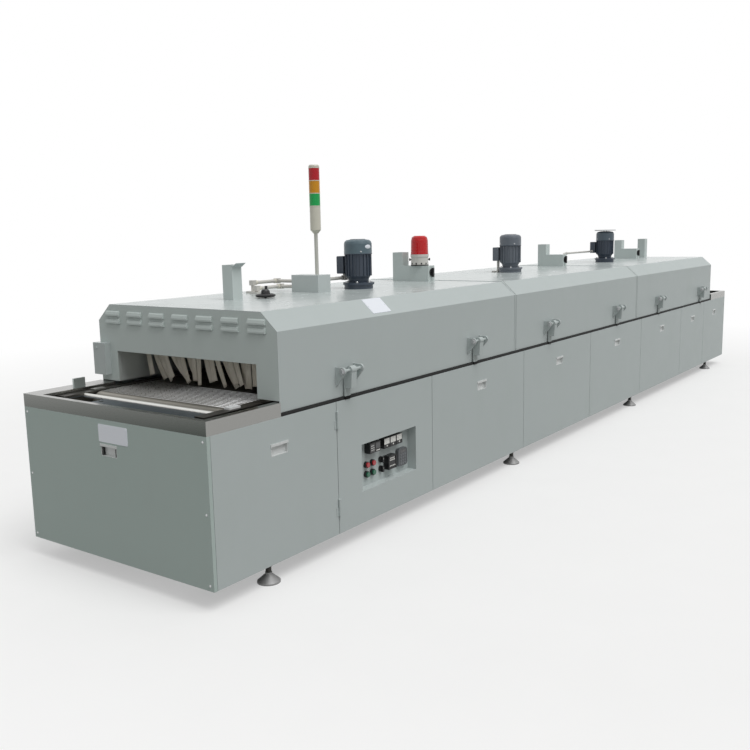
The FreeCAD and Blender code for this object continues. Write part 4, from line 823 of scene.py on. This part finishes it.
# Fittings of the fan motors
FOOT_BOLT_CIRCLE = 0.084
FOOT_TOP_Z = 1.33
COWL_RADIUS = 0.0886
LID_THICKNESS = 0.004
GRILLE_Z = 1.6026
GRILLE_STEPS = 24
COWL_BEAD = [(0.0885, 0.0), (0.0905, 0.0015), (0.0905, 0.005), (0.0885, 0.0065)]

for number, x in enumerate(MOTOR_X):
    body = f"hood_{number + 1}"
    lid = facing((x, 0.139, 1.441), (0, 1, 0))
    bm = bmesh.new()
    for angle in around(6, 0.5):
        bolt_x = x + FOOT_BOLT_CIRCLE * math.cos(angle)
        hex_head(bm, upright(bolt_x, FOOT_BOLT_CIRCLE * math.sin(angle), FOOT_TOP_Z), 0.013, 0.009)
    for step in range(4):
        outwards = heading(math.radians(229.2 + 90.0 * step))
        pan_head(bm, facing(Vector((x, 0.0, 1.526)) + outwards * COWL_RADIUS, outwards), 0.0055)
    for aside in (-0.036, 0.036):
        for rise in (-0.048, 0.048):
            pan_head(bm, shifted(lid, aside, rise, LID_THICKNESS), 0.004)
    fitted(f"motor_screws_{number + 1}", bm, BRIGHT, body)

    bm = bmesh.new()
    plate(bm, lid, 0.088, 0.11, LID_THICKNESS, 0.008, 0.001)
    for radius in (0.016, 0.03, 0.044):
        loop = []
        for step in range(GRILLE_STEPS + 1):
            angle = math.tau * step / GRILLE_STEPS
            loop.append((x + radius * math.cos(angle), radius * math.sin(angle), GRILLE_Z))
        tube(bm, loop, 0.0022, 6)
    for angle in around(6):
        spoke = [(x + r * math.cos(angle), r * math.sin(angle), GRILLE_Z) for r in (0.006, 0.048)]
        tube(bm, spoke, 0.002, 6)
    lathe(bm, upright(x, 0.0, 1.508), COWL_BEAD, 48)
    fitted(f"motor_trim_{number + 1}", bm, BLUE_TRIM, body)

# A small bare oval plate bent round the first cowl
OVAL_HALF_WIDTH, OVAL_HALF_HEIGHT = 0.024, 0.0125
OVAL_Z = 1.556
OVAL_ANGLE = math.radians(262.8)
OVAL_BEND = 0.0887
OVAL_TOP = 0.0905

bm = bmesh.new()
rings = []
for lift, shrink in ((0.0, 1.0), (0.0012, 1.0), (0.0018, 0.94)):
    radius = COWL_RADIUS + lift
    ring = []
    for turn in around(32):
        aside = OVAL_HALF_WIDTH * shrink * math.cos(turn)
        rise = OVAL_HALF_HEIGHT * shrink * math.sin(turn)
        angle = OVAL_ANGLE + aside / OVAL_BEND
        place = (MOTOR_X[0] + radius * math.cos(angle), radius * math.sin(angle), OVAL_Z + rise)
        ring.append(bm.verts.new(place))
    rings.append(ring)
tip = (MOTOR_X[0] + OVAL_TOP * math.cos(OVAL_ANGLE), OVAL_TOP * math.sin(OVAL_ANGLE), OVAL_Z)
rings.append([bm.verts.new(tip)])
skin(bm, rings)
fitted("motor_oval_plate", bm, PLATE, "hood_1", True)

# Conduit above the third hood, from a gland on the roof to the terminal box
CONDUIT_Y = 0.113
GLAND_X = 1.26
GLAND = [(0.026, 0.0), (0.026, 0.008), (0.017, 0.011), (0.017, 0.03)]
CONDUIT_BEND = 0.03
CONDUIT_Z = 1.402
SLEEVE = [(0.0105, 0.0), (0.0125, 0.002), (0.0125, 0.022), (0.0105, 0.024)]

bm = bmesh.new()
lathe(bm, upright(GLAND_X, CONDUIT_Y, HOOD_TOP_Z), GLAND, 18)
route = [(GLAND_X, CONDUIT_Y, 1.292), (GLAND_X, CONDUIT_Y, 1.37)]
for step in range(1, 7):
    angle = math.radians(15.0 * step)
    bend_x = GLAND_X + CONDUIT_BEND * (1 - math.cos(angle))
    route.append((bend_x, CONDUIT_Y, CONDUIT_Z - CONDUIT_BEND * (1 - math.sin(angle))))
route.append((2.003, CONDUIT_Y, CONDUIT_Z))
tube(bm, route, 0.009)
for x in (1.33, 1.97):
    lathe(bm, facing((x, CONDUIT_Y, CONDUIT_Z), (1, 0, 0)), SLEEVE, 14)
fitted("motor_conduit_3", bm, WHITE, "hood_3", True)

# Couplings on the conduits at the junction box
COUPLING = [(0.0112, 0.0), (0.0145, 0.002), (0.0145, 0.018), (0.0112, 0.02)]
COUPLING_INSET = 0.0155

bm = bmesh.new()
for start, end, y, z in ((-2.76, -2.533, 0.4, 1.352), (-2.801, -2.581, 0.33, 1.322)):
    lathe(bm, facing((start + COUPLING_INSET, y, z), (1, 0, 0)), COUPLING, 16)
    lathe(bm, facing((end - COUPLING_INSET, y, z), (-1, 0, 0)), COUPLING, 16)
    lathe(bm, facing((end, 0.212, z), (0, 1, 0)), COUPLING, 16)
lathe(bm, facing((-2.491, CONDUIT_Y, 1.3575), (1, 0, 0)), COUPLING, 16)
fitted("conduit_couplings", bm, IVORY, "hood_1")

# Signal tower and beacon
TOWER_X, TOWER_Y = -2.515, 0.085
TOWER_RING = [(0.0325, -0.0026), (0.0342, -0.0018), (0.0342, 0.0018), (0.0325, 0.0026)]

bm = bmesh.new()
for z in LENS_JOINTS_Z:
    lathe(bm, upright(TOWER_X, TOWER_Y, z), TOWER_RING, 32)
fitted("tower_rings", bm, IVORY, "hood_1")

BEACON = Vector((-1.39, 0.055, 0.0))
BEACON_SKIRT = [(0.0635, 0.0), (0.0645, 0.001), (0.0645, 0.006), (0.0612, 0.008)]
BEACON_KNOB = [(0.004, 0.0), (0.004, 0.004), (0.0095, 0.0045), (0.0095, 0.0135), (0.007, 0.015)]


def on_beacon(z):
    """A point on the axis of the beacon."""
    return BEACON + Vector((0, 0, z))


bm = bmesh.new()
lathe(bm, Matrix.Translation(on_beacon(1.401)), BEACON_SKIRT, 40)
for angle in around(10, 0.25):
    outwards = heading(angle)
    plate(bm, facing(on_beacon(1.417) + outwards * 0.0609, outwards), 0.011, 0.012, 0.0012, 0.003)
for angle in (125.0, 305.0):
    outwards = heading(math.radians(angle))
    lathe(bm, facing(on_beacon(1.445) + outwards * 0.0608, outwards), BEACON_KNOB, 16)
fitted("beacon_fittings", bm, BLACK, "hood_1")

bm = bmesh.new()
for z, radius in ((1.4832, 0.0652), (1.5, 0.0622)):
    ring = [(radius - 0.002, -0.002), (radius, -0.001), (radius, 0.001), (radius - 0.002, 0.002)]
    lathe(bm, Matrix.Translation(on_beacon(z)), ring, 40)
fitted("beacon_rings", bm, RED, "hood_1")

# Instruments on the control door
FRONT = (0.0, -1.0, 0.0)
CASE_Y = -0.646
UPPER_Z = 0.484
LOWER_Z = 0.364
METERS_X = (-2.834, -2.773, -2.712)
DIAL_THICKNESS = 0.0008
TICK_RADIUS = 0.03
WIDE_HALF = 0.0245
WIDE_FACE = 0.0018

white = bmesh.new()
black = bmesh.new()
for x in METERS_X:
    dial = facing((x, -0.6455, 0.4936), FRONT)
    plate(white, dial, 0.0515, 0.0325, DIAL_THICKNESS, 0.001, 0.0002)
    for step in range(5):
        angle = math.radians(-48.0 + 24.0 * step)
        rise = TICK_RADIUS * math.cos(angle) - 0.021
        tick = shifted(dial, TICK_RADIUS * math.sin(angle), rise, DIAL_THICKNESS)
        long = 0.004 if step % 2 == 0 else 0.0028
        plate(black, tick @ Matrix.Rotation(-angle, 4, "Z"), 0.0007, long, 0.0004, 0.0002, 0.0001)
    needle = shifted(dial, -0.0085, -0.0035, 0.0009) @ Matrix.Rotation(math.radians(38.0), 4, "Z")
    plate(black, needle, 0.0006, 0.02, 0.0004, 0.0002, 0.0001)
    pan_head(white, facing((x, CASE_Y, 0.4675), FRONT), 0.0048)
    border(black, facing((x, CASE_Y, UPPER_Z), FRONT), 0.0275, 0.058, 0.003, 0.0012, 0.0008, 0.0004)

# The wide instrument beside the meters: two dark faces with white marks
wide = facing((-2.948, CASE_Y, UPPER_Z), FRONT)
for aside in (-WIDE_HALF, WIDE_HALF):
    plate(black, shifted(wide, aside, 0.0), 0.046, 0.054, WIDE_FACE, 0.003)
plate(white, shifted(wide, 0.026, -0.0195, WIDE_FACE), 0.034, 0.005, 0.0005, 0.001, 0.0002)
for rise in (-0.012, 0.0, 0.012):
    plate(white, shifted(wide, -WIDE_HALF, rise, WIDE_FACE), 0.03, 0.0024, 0.0005, 0.0008, 0.0002)

# The square controller below: a frame, two rows of digits and a row of keys
control = facing((-2.784, CASE_Y, LOWER_Z), FRONT)
border(black, control, 0.0362, 0.078, 0.0056, 0.003, 0.002, 0.001)
for rise, width in ((0.0235, 0.046), (0.0125, 0.05)):
    for place in range(4):
        digit = shifted(control, (place - 1.5) * width / 4, rise, -0.0006)
        plate(white, digit, width / 4 - 0.0035, 0.0065, 0.0008, 0.0008, 0.0002)
for place in range(4):
    key = shifted(control, (place - 1.5) * 0.0145, -0.0205)
    plate(white, key, 0.0092, 0.006, 0.0016, 0.0015, 0.0004)
fitted("instrument_faces", white, DIAL, "door")
fitted("instrument_frames", black, BLACK, "door")

bm = bmesh.new()
plate(bm, shifted(wide, -WIDE_HALF, 0.0, 0.0016), 0.038, 0.044, 0.0004, 0.002, 0.0001)
plate(bm, shifted(wide, WIDE_HALF, 0.006, 0.0016), 0.038, 0.03, 0.0004, 0.002, 0.0001)
keypad = facing((-2.657, -0.632, LOWER_Z), FRONT)
plate(bm, shifted(keypad, 0.0, 0.034), 0.058, 0.02, 0.001, 0.002, 0.0003)
fitted("instrument_windows", bm, WINDOW, "door")

bm = bmesh.new()
for row in range(4):
    for column in range(3):
        key = shifted(keypad, (column - 1) * 0.0205, 0.0125 - row * 0.0165)
        plate(bm, key, 0.0165, 0.0122, 0.0026, 0.0025, 0.0009)
fitted("keypad_keys", bm, KEYS, "door")

for number, z in enumerate((0.391, 0.337)):
    bm = bmesh.new()
    low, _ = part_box(f"selector_knob_{number + 1}")
    plate(bm, facing((-2.856, low[1], z + 0.005), FRONT), 0.0016, 0.008, 0.0005, 0.0005, 0.0002)
    fitted(f"selector_mark_{number + 1}", bm, DIAL, f"selector_knob_{number + 1}")

# Threads of the feet
FEET_X = (-3.8, -1.26, 1.15, 3.644)
FEET_Y = (-0.618, 0.618)
THREAD_FOOT_Z = 0.0516
THREAD_PITCH = 0.0031
THREAD_TURNS = 9
ROOT_RADIUS, CREST_RADIUS = 0.0131, 0.0143

thread = []
for turn in range(THREAD_TURNS):
    z = THREAD_FOOT_Z + THREAD_PITCH * turn
    thread += [(ROOT_RADIUS, z), (CREST_RADIUS, z + 0.0011)]
    thread += [(CREST_RADIUS, z + 0.0017), (ROOT_RADIUS, z + 0.0029)]
bm = bmesh.new()
for x in FEET_X:
    for y in FEET_Y:
        lathe(bm, upright(x, y, 0.0), thread, 24)
fitted("foot_threads", bm, DARK_STEEL, "base", True)

# Cross rods of the belt at the open tables
RODS_PER_SIDE = 14
FIRST_ROD_X = 3.872
ROD_HALF_LENGTH = 0.462
ROD_Z = 0.8485

bm = bmesh.new()
for side in (-1, 1):
    for number in range(RODS_PER_SIDE):
        x = side * (FIRST_ROD_X - ROD_PITCH * number)
        tube(bm, [(x, -ROD_HALF_LENGTH, ROD_Z), (x, ROD_HALF_LENGTH, ROD_Z)], 0.002, 6)
fitted("belt_rods", bm, BRIGHT, "base", True)

# Floor and light
PLAIN_WHITE = (1.0, 1.0, 1.0, 1.0)
FLOOR_HALF = 30.0
FADE_FROM, FADE_TO = 4.5, 8.5
AMBIENT = 0.42
KEY_TOWARDS = (0.04, 0.474, -0.873)
KEY_POWER = 1.66
KEY_SPREAD = 40.0

floor_mesh = bpy.data.meshes.new("floor")
corners = [(x * FLOOR_HALF, y * FLOOR_HALF, 0) for x, y in ((-1, -1), (1, -1), (1, 1), (-1, 1))]
floor_mesh.from_pydata(corners, [], [(0, 1, 2, 3)])
floor = bpy.data.objects.new("floor", floor_mesh)
SCENE.collection.objects.link(floor)

# The floor keeps a soft shadow near the part and fades to plain white further out
ground = Look("pale_floor", 0.7)
reach = ground.node("ShaderNodeVectorMath", {"operation": "LENGTH"})
ground.feed(reach.inputs[0], ground.place)
paving = ground.mix(ground.noise(3.0, 3.0), srgb(242, 242, 241), srgb(247, 247, 246))
backdrop = ground.backdrop_share()
ground.colour(ground.mix(backdrop, srgb(138, 138, 136), paving))
glow = ground.node("ShaderNodeEmission", Color=PLAIN_WHITE, Strength=1.0)
fade = ground.remap(reach.outputs["Value"], FADE_FROM, FADE_TO, 0.4, 1.0)
blend = ground.node("ShaderNodeMixShader")
ground.feed(blend.inputs[0], ground.both(fade, backdrop))
ground.feed(blend.inputs[1], ground.shader.outputs["BSDF"])
ground.feed(blend.inputs[2], glow.outputs["Emission"])
ground.feed(ground.tree.nodes["Material Output"].inputs["Surface"], blend.outputs["Shader"])
floor_mesh.materials.append(ground.material)

world = bpy.data.worlds.new("studio")
SCENE.world = world
world.use_nodes = True
sky = Nodes(world.node_tree)
background = sky.tree.nodes["Background"]
sky.feed(background.inputs["Strength"], sky.remap(sky.backdrop_share(), 0.0, 1.0, AMBIENT, 1.0))
sky.feed(background.inputs["Color"], PLAIN_WHITE)

key_data = bpy.data.lights.new("key_light", "SUN")
key_data.energy = KEY_POWER
key_data.angle = math.radians(KEY_SPREAD)
key_light = bpy.data.objects.new("key_light", key_data)
key_light.rotation_mode = "QUATERNION"
key_light.rotation_quaternion = Vector(KEY_TOWARDS).to_track_quat("-Z", "Y")
SCENE.collection.objects.link(key_light)

# Camera, off the inlet corner at eye height
EYE = Vector((-6.7045, -3.3743, 1.6495))
LOOK_ALONG = Vector((0.79929, 0.57854, -0.16258))
RIGHTWARDS = Vector((0.58350, -0.81186, -0.02031))
FOCAL_PIXELS = 870.6
PHOTO_PIXELS = 750.0
SENSOR = 36.0

camera_data = bpy.data.cameras.new("camera")
camera_data.sensor_width = SENSOR
camera_data.lens = FOCAL_PIXELS / PHOTO_PIXELS * SENSOR
camera_data.clip_end = 200.0
camera = bpy.data.objects.new("camera", camera_data)
ahead = LOOK_ALONG.normalized()
right = (RIGHTWARDS - ahead * RIGHTWARDS.dot(ahead)).normalized()
up = right.cross(ahead)
camera.matrix_world = Matrix.Translation(EYE) @ Matrix((right, up, -ahead)).transposed().to_4x4()
SCENE.collection.objects.link(camera)
SCENE.camera = camera
SCENE.view_settings.view_transform = "Standard"

bpy.context.view_layer.update()
